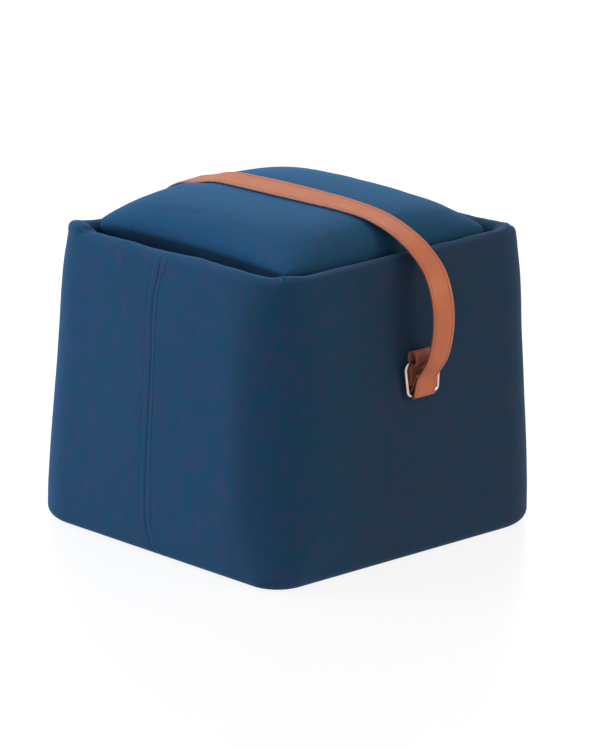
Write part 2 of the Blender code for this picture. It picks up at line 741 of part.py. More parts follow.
def main():
    clear_scene()
    velvet = material("blue_velvet", (0.016, 0.060, 0.135), 0.85)
    seat_velvet = material("blue_velvet_seat", (0.022, 0.075, 0.160), 0.85)
    under_cloth = material("dark_base_cloth", (0.020, 0.022, 0.026), 0.9)
    tan = material("tan_leather", (0.480, 0.150, 0.070), 0.5)
    brown = material("brown_leather", (0.090, 0.032, 0.022), 0.5)
    metal = material("pale_gold_metal", (0.80, 0.66, 0.50), 0.25, 1.0)
    make_body(velvet)
    make_base_panel(under_cloth)
    make_seat(seat_velvet)
    make_strap(tan)
    make_ring("ring_front", -1, metal)
    make_ring("ring_back", 1, metal)
    make_tab("tab_front", -1, brown)
    make_tab("tab_back", 1, brown)


main()
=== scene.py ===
"""The looks of a cube pouf stool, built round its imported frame: a filled velvet cube with a
standing rim, a crowned seat cushion, and a stitched leather strap from ring to ring."""

import math
from collections import namedtuple

import bmesh
import bpy
import numpy as np
from mathutils import Matrix, Vector, noise
from mathutils.bvhtree import BVHTree
from mathutils.interpolate import poly_3d_calc


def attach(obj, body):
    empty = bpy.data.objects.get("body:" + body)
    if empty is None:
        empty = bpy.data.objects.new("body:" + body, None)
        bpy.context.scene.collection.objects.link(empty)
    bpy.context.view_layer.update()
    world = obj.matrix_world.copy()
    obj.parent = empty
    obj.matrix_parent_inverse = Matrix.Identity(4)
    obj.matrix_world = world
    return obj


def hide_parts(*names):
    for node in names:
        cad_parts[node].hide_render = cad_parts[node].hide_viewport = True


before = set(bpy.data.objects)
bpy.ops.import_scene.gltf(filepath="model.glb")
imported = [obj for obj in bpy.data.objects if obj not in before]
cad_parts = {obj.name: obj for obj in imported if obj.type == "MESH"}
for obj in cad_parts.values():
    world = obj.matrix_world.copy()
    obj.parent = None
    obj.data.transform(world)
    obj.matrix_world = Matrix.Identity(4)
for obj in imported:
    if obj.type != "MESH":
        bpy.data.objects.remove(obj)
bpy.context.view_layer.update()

# ---------------------------------------------------------------- sizes (metres), as in the CAD
GAP = 0.0003
RIM_HEIGHT = 0.355
LEAN = (0.01375, -0.01268)
FOOT_ROUND = 0.0128
RIM_THICKNESS = 0.024
RECESS_FLOOR = 0.312
INNER_CORNER = 0.035
FACE_BULGE = 0.0025
BASE_INSET = 0.024
BASE_THICKNESS = 0.0025

STRAP_X = 0.005
STRAP_WIDTH = 0.033
STRAP_THICKNESS = 0.0023
STRAP_TURN_BACK = 0.025

WIRE = 0.002
RING_BAR_HALF = 0.0265
RING_LOW_HALF = 0.0228
RING_TOP_ROUND, RING_LOW_ROUND = 0.0080, 0.0056
RING_SHIFT = 0.0010
RING_BAR_Z, RING_LOW_Z = 0.2326, 0.1950
RING_BAR_OUT, RING_LOW_OUT = 0.0068, 0.0062

TAB_WIDTH = 0.031
TAB_PLY = 0.0019
TAB_TOP = 0.2466
TAB_DEPTH = 0.0148
TAB_TAIL_END = 0.2050

WallRow = namedtuple("WallRow", "z half corner near_corner")
BODY_WALL = [
    WallRow(0.0128, 0.2200, 0.074, 0.043),
    WallRow(0.0350, 0.2194, 0.073, 0.058),
    WallRow(0.0700, 0.2180, 0.072, 0.073),
    WallRow(0.1100, 0.2158, 0.070, 0.081),
    WallRow(0.1500, 0.2134, 0.068, 0.084),
    WallRow(0.1900, 0.2109, 0.066, 0.084),
    WallRow(0.2300, 0.2084, 0.063, 0.082),
    WallRow(0.2700, 0.2060, 0.060, 0.077),
    WallRow(0.3050, 0.2036, 0.058, 0.069),
    WallRow(0.3300, 0.2010, 0.057, 0.061),
    WallRow(0.3430, 0.1992, 0.056, 0.058),
]

# The long seam on the -X face: its middle line, and the two topstitched lines beside it, as
# distances towards +Y (the far line) and towards -Y (the near line).
SeamRow = namedtuple("SeamRow", "z y far near")
SEAM = [
    SeamRow(0.0000, -0.0160, 0.0125, 0.0135),
    SeamRow(0.0098, -0.0110, 0.0125, 0.0122),
    SeamRow(0.0186, -0.0070, 0.0126, 0.0106),
    SeamRow(0.0300, -0.0015, 0.0110, 0.0104),
    SeamRow(0.0400, 0.0010, 0.0108, 0.0102),
    SeamRow(0.0640, 0.0027, 0.0104, 0.0102),
    SeamRow(0.1200, 0.0032, 0.0115, 0.0085),
    SeamRow(0.1810, 0.0037, 0.0126, 0.0069),
    SeamRow(0.2510, 0.0065, 0.0119, 0.0067),
    SeamRow(0.2930, 0.0092, 0.0106, 0.0076),
    SeamRow(0.3070, 0.0088, 0.0112, 0.0070),
    SeamRow(0.3170, 0.0078, 0.0117, 0.0076),
    SeamRow(0.3265, 0.0064, 0.0125, 0.0076),
    SeamRow(0.3400, 0.0048, 0.0125, 0.0108),
    SeamRow(0.3483, 0.0038, 0.0125, 0.0122),
    SeamRow(0.3560, 0.0030, 0.0125, 0.0125),
]

RimRow = namedtuple("RimRow", "side_x side_y sag")
RIM_SAG = [
    RimRow(-1, 0, 0.0010),
    RimRow(0, -1, 0.0010),
    RimRow(1, 0, 0.0080),
    RimRow(0, 1, 0.0100),
]

DipRow = namedtuple("DipRow", "turn dip")
RIM_DIP = [
    DipRow(-56, 0.0000),
    DipRow(-52, 0.0007),
    DipRow(-48.5, 0.0001),
    DipRow(-46, -0.0006),
    DipRow(-44.5, 0.0002),
    DipRow(-42, 0.0021),
    DipRow(-40, 0.0016),
    DipRow(-36, 0.0010),
    DipRow(-24, 0.0008),
    DipRow(-20, 0.0004),
    DipRow(-16, 0.0000),
    DipRow(-12, 0.0006),
    DipRow(-9, 0.0018),
    DipRow(-5, 0.0025),
    DipRow(0, 0.0028),
    DipRow(5, 0.0036),
    DipRow(12, 0.0040),
    DipRow(22, 0.0038),
    DipRow(27, 0.0041),
    DipRow(29.4, 0.0045),
    DipRow(32, 0.0049),
    DipRow(34.5, 0.0049),
    DipRow(36.4, 0.0056),
    DipRow(37.6, 0.0046),
    DipRow(38.8, 0.0014),
    DipRow(39.8, 0.0001),
    DipRow(42, 0.0000),
    DipRow(45, 0.0004),
    DipRow(50, 0.0018),
    DipRow(58, 0.0020),
    DipRow(70, 0.0008),
    DipRow(80, 0.0000),
]

StrapRow = namedtuple("StrapRow", "y z x roll")
STRAP_PATH = [
    StrapRow(-0.2292, 0.2080, 0.005, 0),
    StrapRow(-0.2322, 0.2160, 0.005, 0),
    StrapRow(-0.2395, 0.2262, 0.005, 0),
    StrapRow(-0.2468, 0.2370, 0.005, 0),
    StrapRow(-0.2532, 0.2550, 0.005, 0),
    StrapRow(-0.2574, 0.2800, 0.005, 0),
    StrapRow(-0.2554, 0.3090, 0.005, 0),
    StrapRow(-0.2430, 0.3400, 0.005, 0),
    StrapRow(-0.2160, 0.3640, 0.005, 0),
    StrapRow(-0.1830, 0.3795, 0.005, 1),
    StrapRow(-0.1500, 0.3892, 0.003, 3),
    StrapRow(-0.1100, 0.3941, -0.001, 7),
    StrapRow(-0.0600, 0.3960, -0.006, 11),
    StrapRow(0.0000, 0.3965, -0.010, 13),
    StrapRow(0.0500, 0.3951, -0.010, 12),
    StrapRow(0.1000, 0.3914, -0.008, 10),
    StrapRow(0.1380, 0.3815, -0.003, 7),
    StrapRow(0.1700, 0.3734, 0.000, 3),
    StrapRow(0.1995, 0.3566, 0.003, 0),
    StrapRow(0.2200, 0.3320, 0.005, 0),
    StrapRow(0.2330, 0.3020, 0.005, 0),
    StrapRow(0.2370, 0.2720, 0.005, 0),
    StrapRow(0.2352, 0.2540, 0.005, 0),
    StrapRow(0.2318, 0.2390, 0.005, 0),
    StrapRow(0.2276, 0.2280, 0.005, 0),
    StrapRow(0.2246, 0.2180, 0.005, 0),
    StrapRow(0.2230, 0.2080, 0.005, 0),
]

# ---------------------------------------------------------------- sizes of the finer detail
SEAM_ZONE = 0.0185  # half the width that the seam's three lines take
SEAM_GROOVE = 0.00085
STITCH_GROOVE = 0.00052
RIM_CREASE_DOWN = 0.0070  # the crease under the rim's crest at the corners
RIM_CREASE_DEPTH = 0.0010

EDGE_LINE = 0.0040  # the stitched line, from the strap's edge
STITCH_LONG, STITCH_PITCH, THREAD = 0.0029, 0.0040, 0.00030

SEAT_VOXEL = 0.0050
SEAT_SHRINK = 0.0025
SEAT_CAP = 0.0055
SEAT_OUT, SEAT_IN = 0.0004, 0.0003  # how far it ends outside or inside the CAD form


# ---------------------------------------------------------------- small helpers
def hermite(rows, at):
    """The columns of a table at the heights `at`, on one smooth curve through its rows."""
    table = np.array([tuple(row) for row in rows], float)
    x, values = table[:, 0], table[:, 1:]
    at = np.clip(np.asarray(at, float), x[0], x[-1])
    steps = np.diff(x)
    slopes = np.diff(values, axis=0) / steps[:, None]
    tangents = np.empty_like(values)
    tangents[0], tangents[-1] = slopes[0], slopes[-1]
    before, after = steps[:-1, None], steps[1:, None]
    tangents[1:-1] = (slopes[:-1] * after + slopes[1:] * before) / (before + after)
    index = np.clip(np.searchsorted(x, at, side="right") - 1, 0, len(steps) - 1)
    t = ((at - x[index]) / steps[index])[..., None]
    width = steps[index][..., None]
    return (
        (2 * t**3 - 3 * t**2 + 1) * values[index]
        + (t**3 - 2 * t**2 + t) * width * tangents[index]
        + (-2 * t**3 + 3 * t**2) * values[index + 1]
        + (t**3 - t**2) * width * tangents[index + 1]
    )


def smooth_path(points, steps):
    """Points along a smooth curve through the given ones (centripetal in length)."""
    count, size = len(points), len(points[0])
    tangents = []
    spans = [math.dist(a[:2], b[:2]) for a, b in zip(points, points[1:])]
    for i in range(count):
        if i == 0:
            tangents.append([(points[1][k] - points[0][k]) / spans[0] for k in range(size)])
        elif i == count - 1:
            tangents.append([(points[-1][k] - points[-2][k]) / spans[-1] for k in range(size)])
        else:
            before, after = spans[i - 1], spans[i]
            tangents.append(
                [
                    (
                        (points[i][k] - points[i - 1][k]) / before * after
                        + (points[i + 1][k] - points[i][k]) / after * before
                    )
                    / (before + after)
                    for k in range(size)
                ]
            )
    found = []
    for i in range(count - 1):
        for step in range(steps):
            t = step / steps
            h00, h10 = 2 * t**3 - 3 * t**2 + 1, t**3 - 2 * t**2 + t
            h01, h11 = -2 * t**3 + 3 * t**2, t**3 - t**2
            found.append(
                [
                    h00 * points[i][k]
                    + h10 * spans[i] * tangents[i][k]
                    + h01 * points[i + 1][k]
                    + h11 * spans[i] * tangents[i + 1][k]
                    for k in range(size)
                ]
            )
    found.append(list(points[-1]))
    return found


def even_path(points, spacing):
    """The same line with points at an even spacing, for tuples of any size."""
    points = np.array(points, float)
    lengths = np.concatenate([[0], np.cumsum(np.linalg.norm(np.diff(points[:, :2], axis=0), axis=1))])
    count = max(2, int(round(lengths[-1] / spacing)) + 1)
    at = np.linspace(0, lengths[-1], count)
    return np.stack([np.interp(at, lengths, points[:, k]) for k in range(points.shape[1])], axis=1), lengths[-1]


def bell(x, width):
    return np.exp(-((x / width) ** 2))


def ramp(x, low, high):
    """0 below low, 1 above high, smooth between."""
    t = np.clip((x - low) / (high - low), 0, 1)
    return t * t * (3 - 2 * t)


def field(points, scale, seed=0.0):
    """Smooth seeded noise from -1 to 1 at each point."""
    shift = Vector((seed, seed * 1.7, -seed * 0.6))
    return np.array([noise.noise(Vector(p) * scale + shift) for p in points])


def mesh_object(name, points, faces, materials, smooth=True, face_slots=None):
    mesh = bpy.data.meshes.new(name)
    mesh.from_pydata([tuple(map(float, p)) for p in points], [], [tuple(map(int, f)) for f in faces])
    mesh.validate()
    for made_of in materials:
        mesh.materials.append(made_of)
    if face_slots is not None:
        mesh.polygons.foreach_set("material_index", np.asarray(face_slots, np.int32))
    bm = bmesh.new()
    bm.from_mesh(mesh)
    bmesh.ops.recalc_face_normals(bm, faces=bm.faces)
    if bm.calc_volume(signed=True) < 0:
        bmesh.ops.reverse_faces(bm, faces=bm.faces)
    bm.to_mesh(mesh)
    bm.free()
    if smooth:
        mesh.shade_smooth()
    mesh.update()
    obj = bpy.data.objects.new(name, mesh)
    bpy.context.scene.collection.objects.link(obj)
    return obj


def skin_faces(rows, columns, first=0, closed_rows=False):
    """Quads of a grid of closed rings: rows of `columns` points each."""
    faces = []
    for i in range(rows if closed_rows else rows - 1):
        a, b = first + i * columns, first + ((i + 1) % rows) * columns
        for j in range(columns):
            k = (j + 1) % columns
            faces.append((a + j, a + k, b + k, b + j))
    return faces


def cap_faces(ring, centre):
    return [(ring[j], ring[(j + 1) % len(ring)], centre) for j in range(len(ring))]


# ---------------------------------------------------------------- materials
class Nodes:
    """A small hand for wiring one material's nodes."""

    def __init__(self, name):
        self.material = bpy.data.materials.new(name)
        self.material.use_nodes = True
        self.tree = self.material.node_tree
        self.shader = self.tree.nodes["Principled BSDF"]
        self.coords = self.add("ShaderNodeTexCoord").outputs["Object"]

    def add(self, kind, **settings):
        node = self.tree.nodes.new(kind)
        for key, value in settings.items():
            setattr(node, key, value)
        return node

    def link(self, source, target):
        self.tree.links.new(source, target)

    def put(self, node, socket, value):
        if isinstance(value, bpy.types.NodeSocket):
            self.link(value, node.inputs[socket])
        else:
            node.inputs[socket].default_value = value

    def stretched(self, scale):
        node = self.add("ShaderNodeMapping")
        node.inputs["Scale"].default_value = scale
        self.link(self.coords, node.inputs["Vector"])
        return node.outputs["Vector"]

    def noise(self, scale, detail=2.0, rough=0.5, vector=None, distortion=0.0):
        node = self.add("ShaderNodeTexNoise")
        node.inputs["Scale"].default_value = scale
        node.inputs["Detail"].default_value = detail
        node.inputs["Roughness"].default_value = rough
        node.inputs["Distortion"].default_value = distortion
        self.link(vector or self.coords, node.inputs["Vector"])
        return node.outputs["Fac"]

    def voronoi(self, scale, feature="F1", vector=None):
        node = self.add("ShaderNodeTexVoronoi", feature=feature)
        node.inputs["Scale"].default_value = scale
        self.link(vector or self.coords, node.inputs["Vector"])
        return node.outputs["Distance"]

    def span(self, value, low, high, to_low=0.0, to_high=1.0):
        node = self.add("ShaderNodeMapRange")
        node.clamp = True
        self.link(value, node.inputs["Value"])
        for socket, number in (("From Min", low), ("From Max", high), ("To Min", to_low), ("To Max", to_high)):
            node.inputs[socket].default_value = number
        return node.outputs["Result"]

    def maths(self, operation, a, b):
        node = self.add("ShaderNodeMath", operation=operation)
        self.put(node, 0, a)
        self.put(node, 1, b)
        return node.outputs[0]

    def mix(self, factor, a, b, blend="MIX"):
        node = self.add("ShaderNodeMix", data_type="RGBA", blend_type=blend)
        self.put(node, 0, factor)
        for socket, value in ((6, a), (7, b)):
            if isinstance(value, tuple):
                value = (*value, 1.0)
            self.put(node, socket, value)
        return node.outputs[2]

    def bump(self, height, strength, distance, normal=None):
        node = self.add("ShaderNodeBump")
        node.inputs["Strength"].default_value = strength
        node.inputs["Distance"].default_value = distance
        self.link(height, node.inputs["Height"])
        if normal is not None:
            self.link(normal, node.inputs["Normal"])
        return node.outputs["Normal"]

    def set(self, **values):
        for name, value in values.items():
            self.put(self.shader, name.replace("_", " "), value)


def velvet(name, colour, sheen, seed=0.0, turned=True, warm=1.0):
    """Short-pile velvet: the pile lies unevenly in soft patches, and shines towards the outline."""
    n = Nodes(name)
    moved = n.add("ShaderNodeMapping")
    moved.inputs["Location"].default_value = (seed, seed * 0.7, -seed)
    n.link(n.coords, moved.inputs["Vector"])
    place = moved.outputs["Vector"]
    r, g, b = colour
    broad = n.noise(9.0, 3.0, 0.55, place)
    patch = n.noise(64.0, 3.0, 0.55, place, 0.6)
    tint = n.noise(50.0, 3.0, 0.55, n.stretched((1.0, 1.0, 0.8)))
    flecks = n.noise(170.0, 3.0, 0.6, n.stretched((1.0, 1.0, 0.7)))
    pile = n.noise(1500.0, 2.0, 0.6, place)
    strands = n.noise(1.0, 2.0, 0.5, n.stretched((950.0, 950.0, 260.0)))
    colour = n.mix(n.span(patch, 0.32, 0.68), (r * 0.6, g * 0.70, b * 0.73), (r * 1.4, g * 1.30, b * 1.27))
    colour = n.mix(n.span(broad, 0.32, 0.68, 0.0, 0.5), colour, (r, g * 1.07, b * 1.08))
    colour = n.mix(n.span(tint, 0.44, 0.70, 0.0, 0.85), colour, (r + 0.0170 * warm, g * 0.92, b * 1.03))
    colour = n.mix(n.span(flecks, 0.42, 0.74, 0.0, 0.75), colour, (r + 0.0135 * warm, g * 0.90, b * 1.02))
    colour = n.mix(n.span(tint, 0.50, 0.32, 0.0, 0.70), colour, (0.0, g * 1.12, b * 0.98))
    colour = n.mix(n.span(pile, 0.35, 0.68, 0.0, 0.34), colour, (r * 0.5, g * 0.6, b * 0.64))
    colour = n.mix(n.span(strands, 0.50, 0.75, 0.0, 0.22), colour, (r * 1.7, g * 1.5, b * 1.4))
    if turned:
        # the cloth goes round the body in one strip; painted shade darkens it towards black in bands near the near
        # corner, for how the light falls round that corner
        split = n.add("ShaderNodeSeparateXYZ")
        n.link(n.coords, split.inputs[0])
        turn = n.maths("ARCTAN2", n.maths("MULTIPLY", split.outputs["Y"], -1.0), n.maths("MULTIPLY", split.outputs["X"], -1.0))
        away = n.span(turn, 3.0, 2.2)
        near = n.span(turn, PAINTED_SHADE_TURNS[0][0], PAINTED_SHADE_TURNS[0][1], 0.0, PAINTED_SHADE_TURNS[0][2])
        for start, end, darker in PAINTED_SHADE_TURNS[1:]:
            near = n.maths("ADD", near, n.span(turn, start, end, 0.0, darker))
        colour = n.mix(n.maths("MULTIPLY", near, away), colour, (0.0, 0.0, 0.0))
        # painted shade: the -Y face is dulled towards a dark brown
        colour = n.mix(n.maths("MULTIPLY", n.span(turn, 0.95, 1.40, 0.0, MINUS_Y_PAINTED_SHADE), away), colour, (0.016, 0.009, 0.008))
    else:
        # painted shade in the gap: the cushion's lower side on -X, tucked in behind the rim, is darkened towards black
        split = n.add("ShaderNodeSeparateXYZ")
        n.link(n.coords, split.inputs[0])
        low = n.span(split.outputs["Z"], 0.3545, 0.3490)
        left = n.maths("MULTIPLY", n.span(split.outputs["X"], -0.115, -0.135, 0.0, GAP_PAINTED_SHADE), n.span(split.outputs["Y"], 0.145, 0.095))
        colour = n.mix(n.maths("MULTIPLY", low, left), colour, (0.0, 0.0, 0.0))
    n.set(Base_Color=colour, Roughness=n.span(patch, 0.3, 0.7, 0.82, 0.96))
    n.put(n.shader, "Specular IOR Level", 0.26)
    n.put(n.shader, "Sheen Weight", sheen)
    n.put(n.shader, "Sheen Roughness", 0.38)
    n.put(n.shader, "Sheen Tint", (*SHEEN_TINT, 1.0))
    fine = n.bump(pile, 0.22, 0.0004)
    fine = n.bump(strands, 0.16, 0.0005, fine)
    n.set(Normal=n.bump(patch, 0.12, 0.0012, fine))
    return n.material


def leather(name, colour, dark, roughness, gloss, grain=1.0):
    """Smooth leather: small irregular grain with pores, slow changes of tone, dull scuffs."""
    n = Nodes(name)
    cells = n.voronoi(620.0, "SMOOTH_F1")
    warped = n.noise(900.0, 3.0, 0.6)
    clouds = n.noise(38.0, 3.0, 0.55)
    slow = n.noise(11.0, 2.0, 0.5)
    pores = n.voronoi(340.0)
    scuff = n.noise(1.0, 4.0, 0.65, n.stretched((260.0, 90.0, 90.0)))
    tone = n.mix(n.span(clouds, 0.32, 0.68, 0.0, 0.55), colour, dark)
    tone = n.mix(n.span(slow, 0.35, 0.65, 0.0, 0.30), tone, tuple(min(1.0, c * 1.18) for c in colour))
    tone = n.mix(n.span(cells, 0.10, 0.55, 0.20, 0.0), tone, dark)
    tone = n.mix(n.span(pores, 0.0, 0.10, 0.45, 0.0), tone, tuple(c * 0.5 for c in dark))
    tone = n.mix(n.span(scuff, 0.62, 0.80, 0.0, 0.25), tone, tuple(min(1.0, c * 1.3 + 0.02) for c in colour))
    n.set(Base_Color=tone)
    n.set(Roughness=n.maths("ADD", n.span(clouds, 0.3, 0.7, roughness - 0.05, roughness + 0.06), n.span(scuff, 0.6, 0.8, 0.0, 0.10)))
    n.put(n.shader, "Specular IOR Level", gloss)
    grain_height = n.maths("ADD", n.span(cells, 0.0, 0.6), n.maths("MULTIPLY", warped, 0.5))
    n.set(Normal=n.bump(pores, 0.05, 0.0002, n.bump(grain_height, 0.16 * grain, 0.00035)))
    return n.material


def edge_paint(name, colour, dark):
    n = Nodes(name)
    runs = n.noise(1.0, 3.0, 0.6, n.stretched((300.0, 120.0, 120.0)))
    fibre = n.noise(1600.0, 2.0, 0.5)
    tone = n.mix(n.span(runs, 0.35, 0.65), colour, dark)
    tone = n.mix(n.span(fibre, 0.4, 0.7, 0.0, 0.25), tone, tuple(c * 0.7 for c in dark))
    n.set(Base_Color=tone, Roughness=n.span(runs, 0.3, 0.7, 0.42, 0.58))
    n.set(Normal=n.bump(fibre, 0.15, 0.0003))
    return n.material


def thread(name, colour, dark):
    """Twisted sewing thread."""
    n = Nodes(name)
    wave = n.add("ShaderNodeTexWave", wave_type="BANDS", bands_direction="DIAGONAL")
    wave.inputs["Scale"].default_value = 620.0
    wave.inputs["Distortion"].default_value = 1.0
    n.link(n.coords, wave.inputs["Vector"])
    fuzz = n.noise(2600.0, 2.0, 0.5)
    tone = n.mix(n.span(wave.outputs["Fac"], 0.1, 0.9, 0.0, 0.6), colour, dark)
    tone = n.mix(n.span(fuzz, 0.4, 0.7, 0.0, 0.3), tone, tuple(min(1.0, c * 1.35) for c in colour))
    n.set(Base_Color=tone, Roughness=n.span(fuzz, 0.3, 0.7, 0.55, 0.75))
    n.set(Normal=n.bump(wave.outputs["Fac"], 0.3, 0.0002))
    return n.material


def plated(name):
    """Pale gold plating, polished, with faint handling marks."""
    n = Nodes(name)
    smear = n.noise(170.0, 3.0, 0.6)
    fine = n.noise(1.0, 3.0, 0.6, n.stretched((2200.0, 500.0, 900.0)))
    tone = n.mix(n.span(smear, 0.35, 0.70), (0.96, 0.88, 0.77), (0.86, 0.76, 0.62))
    n.set(Base_Color=tone)
    n.put(n.shader, "Metallic", 1.0)
    n.set(Roughness=n.maths("ADD", n.span(smear, 0.3, 0.7, 0.12, 0.24), n.span(fine, 0.55, 0.8, 0.0, 0.10)))
    n.set(Normal=n.bump(fine, 0.05, 0.0001))
    return n.material


def base_cloth_material(name):
    """Plain non-woven cloth: pressed fibres with rows of small bonded points."""
    n = Nodes(name)
    fibres = n.noise(1.0, 4.0, 0.7, n.stretched((900.0, 320.0, 600.0)))
    crossed = n.noise(1.0, 4.0, 0.7, n.stretched((300.0, 880.0, 600.0)))
    dots = n.voronoi(430.0)
    slow = n.noise(24.0, 2.0, 0.5)
    tone = n.mix(n.span(fibres, 0.35, 0.7), (0.014, 0.015, 0.018), (0.036, 0.038, 0.044))
    tone = n.mix(n.span(crossed, 0.45, 0.75, 0.0, 0.5), tone, (0.050, 0.053, 0.060))
    tone = n.mix(n.span(dots, 0.0, 0.22, 0.7, 0.0), tone, (0.010, 0.011, 0.013))
    tone = n.mix(n.span(slow, 0.4, 0.7, 0.0, 0.25), tone, (0.030, 0.032, 0.037))
    n.set(Base_Color=tone, Roughness=n.span(fibres, 0.3, 0.7, 0.80, 0.95))
    n.put(n.shader, "Specular IOR Level", 0.2)
    n.set(Normal=n.bump(dots, 0.35, 0.0004, n.bump(fibres, 0.3, 0.0004)))
    return n.material


# painted shade round the body: between two angles from the -X face, how much darker (a negative amount takes back an
# earlier band)
PAINTED_SHADE_TURNS = [(0.50, 0.62, 0.16), (0.65, 0.75, -0.16), (0.80, 1.00, 0.12)]
# painted shade: how far the -Y face is dulled towards a dark brown
MINUS_Y_PAINTED_SHADE = 0.24
# painted shade: how dark the cushion's lower -X side is made behind the rim
GAP_PAINTED_SHADE = 0.70
SHEEN_TINT = (0.12, 0.46, 1.0)
VELVET = velvet("body_velvet", (0.0004, 0.0450, 0.1120), 0.25)
SEAT_VELVET = velvet("cushion_velvet", (0.0002, 0.0535, 0.1300), 0.30, 3.1, turned=False, warm=0.65)
TAN = leather("strap_leather_tan", (0.452, 0.144, 0.069), (0.382, 0.110, 0.049), 0.44, 0.44)
TAN_BACK = leather("strap_leather_back", (0.150, 0.050, 0.031), (0.110, 0.034, 0.021), 0.72, 0.2, 1.6)
# the strap's edge paint; on the +X edge it is pale as a painted highlight
TAN_EDGE_AND_HIGHLIGHT = edge_paint("strap_edge", (0.580, 0.270, 0.200), (0.470, 0.190, 0.130))
# the same edge paint darkened: painted shade on the -X edge
TAN_EDGE_PAINTED_SHADE = edge_paint("strap_edge_painted_shade", (0.250, 0.092, 0.060), (0.170, 0.058, 0.038))
TAN_THREAD = thread("strap_thread", (0.420, 0.120, 0.060), (0.300, 0.075, 0.035))
BROWN = leather("tab_leather_brown", (0.365, 0.120, 0.074), (0.275, 0.086, 0.054), 0.46, 0.40)
BROWN_EDGE = edge_paint("tab_edge", (0.250, 0.130, 0.098), (0.150, 0.072, 0.052))
BROWN_THREAD = thread("tab_thread", (0.300, 0.120, 0.080), (0.190, 0.068, 0.044))
BLUE_THREAD = thread("seam_thread", (0.0200, 0.0680, 0.1400), (0.0110, 0.0400, 0.0860))
GOLD = plated("ring_plating")
BASE_CLOTH = base_cloth_material("base_cloth_dark")


# ---------------------------------------------------------------- the filled body
QUADRANTS = [(1, 1), (-1, 1), (-1, -1), (1, -1)]
CORNER_STEPS = [26, 26, 44, 26]
FACE_STEPS = [46, None, 46, 46]
SEAM_SIDE_STEPS = 27
SEAM_COLUMNS = 47


def corner_angles(index):
    """Angle fractions round a corner, closer together in the middle of the near one."""
    t = np.linspace(0, 1, CORNER_STEPS[index] + 1)
    if index == 2:
        t = t + 0.105 * np.sin(2 * math.pi * t)
    return t


def outline(half, corners, z, bulge, seam_y):
    """One level of the body, counterclockwise from above, as x, y, each point's distance past
    the seam's middle towards -Y, and how near it is to a corner's middle (with that corner)."""
    xs, ys, past, cornerness, which = [], [], [], [], []
    for index, (sx, sy) in enumerate(QUADRANTS):
        radius = corners[index]
        cx, cy = sx * (half - radius), sy * (half - radius)
        t = corner_angles(index)
        angle = np.radians(90 * (index + t))
        xs.append(cx + radius * np.cos(angle))
        ys.append(cy + radius * np.sin(angle))
        past.append(np.full(len(t), 1.0))
        cornerness.append(radius * np.radians(90) * (t - 0.5))
        which.append(np.full(len(t), index))
        out = (-(index % 2) * (1 if index == 1 else -1), (1 - index % 2) * (1 if index == 0 else -1))
        run = (-out[1], out[0])
        start, end = half - radius, half - corners[(index + 1) % 4]
        if index == 1:
            middle = -seam_y
            left = -start + (middle - SEAM_ZONE + start) * np.arange(1, SEAM_SIDE_STEPS) / SEAM_SIDE_STEPS
            zone = middle + np.linspace(-SEAM_ZONE, SEAM_ZONE, SEAM_COLUMNS)
            right = middle + SEAM_ZONE + (end - middle - SEAM_ZONE) * np.arange(1, SEAM_SIDE_STEPS) / SEAM_SIDE_STEPS
            along = np.concatenate([left, zone, right])
            fraction = along / ((start + end) / 2)
            past.append(along - middle)
        else:
            fraction = np.linspace(-1, 1, FACE_STEPS[index] + 1)[1:-1]
            along = np.where(fraction < 0, fraction * start, fraction * end)
            past.append(np.full(len(along), 1.0))
        fullness = bulge * np.maximum(0.0, 1 - fraction**2) ** 2
        reach = half + fullness
        xs.append(out[0] * reach + run[0] * along)
        ys.append(out[1] * reach + run[1] * along)
        # distance along the level from the nearest corner's middle
        to_first = along + start + radius * math.radians(45)
        next_radius = corners[(index + 1) % 4]
        to_next = along - end - next_radius * math.radians(45)
        nearer_first = to_first < -to_next
        cornerness.append(np.where(nearer_first, to_first, to_next))
        which.append(np.where(nearer_first, index, (index + 1) % 4))
    x, y = np.concatenate(xs) + LEAN[0] * z, np.concatenate(ys) + LEAN[1] * z
    return x, y, np.concatenate(past), np.concatenate(cornerness), np.concatenate(which)


def crest_sag(x, y, z, half):
    x, y = (x - LEAN[0] * z) / half, (y - LEAN[1] * z) / half
    fade = np.clip((z - 0.27) / 0.06, 0, 1)
    sag = np.zeros_like(x)
    for row in RIM_SAG:
        facing = np.maximum(0.0, row.side_x * x + row.side_y * y)
        along = np.minimum(1.0, np.abs(row.side_y * x + row.side_x * y))
        sag += row.sag * np.minimum(1.0, facing) ** 8 * (1 - along**5)
    turn = np.degrees(np.arctan2(y, -x))
    sag += hermite(RIM_DIP, turn)[..., 0]
    return sag * fade


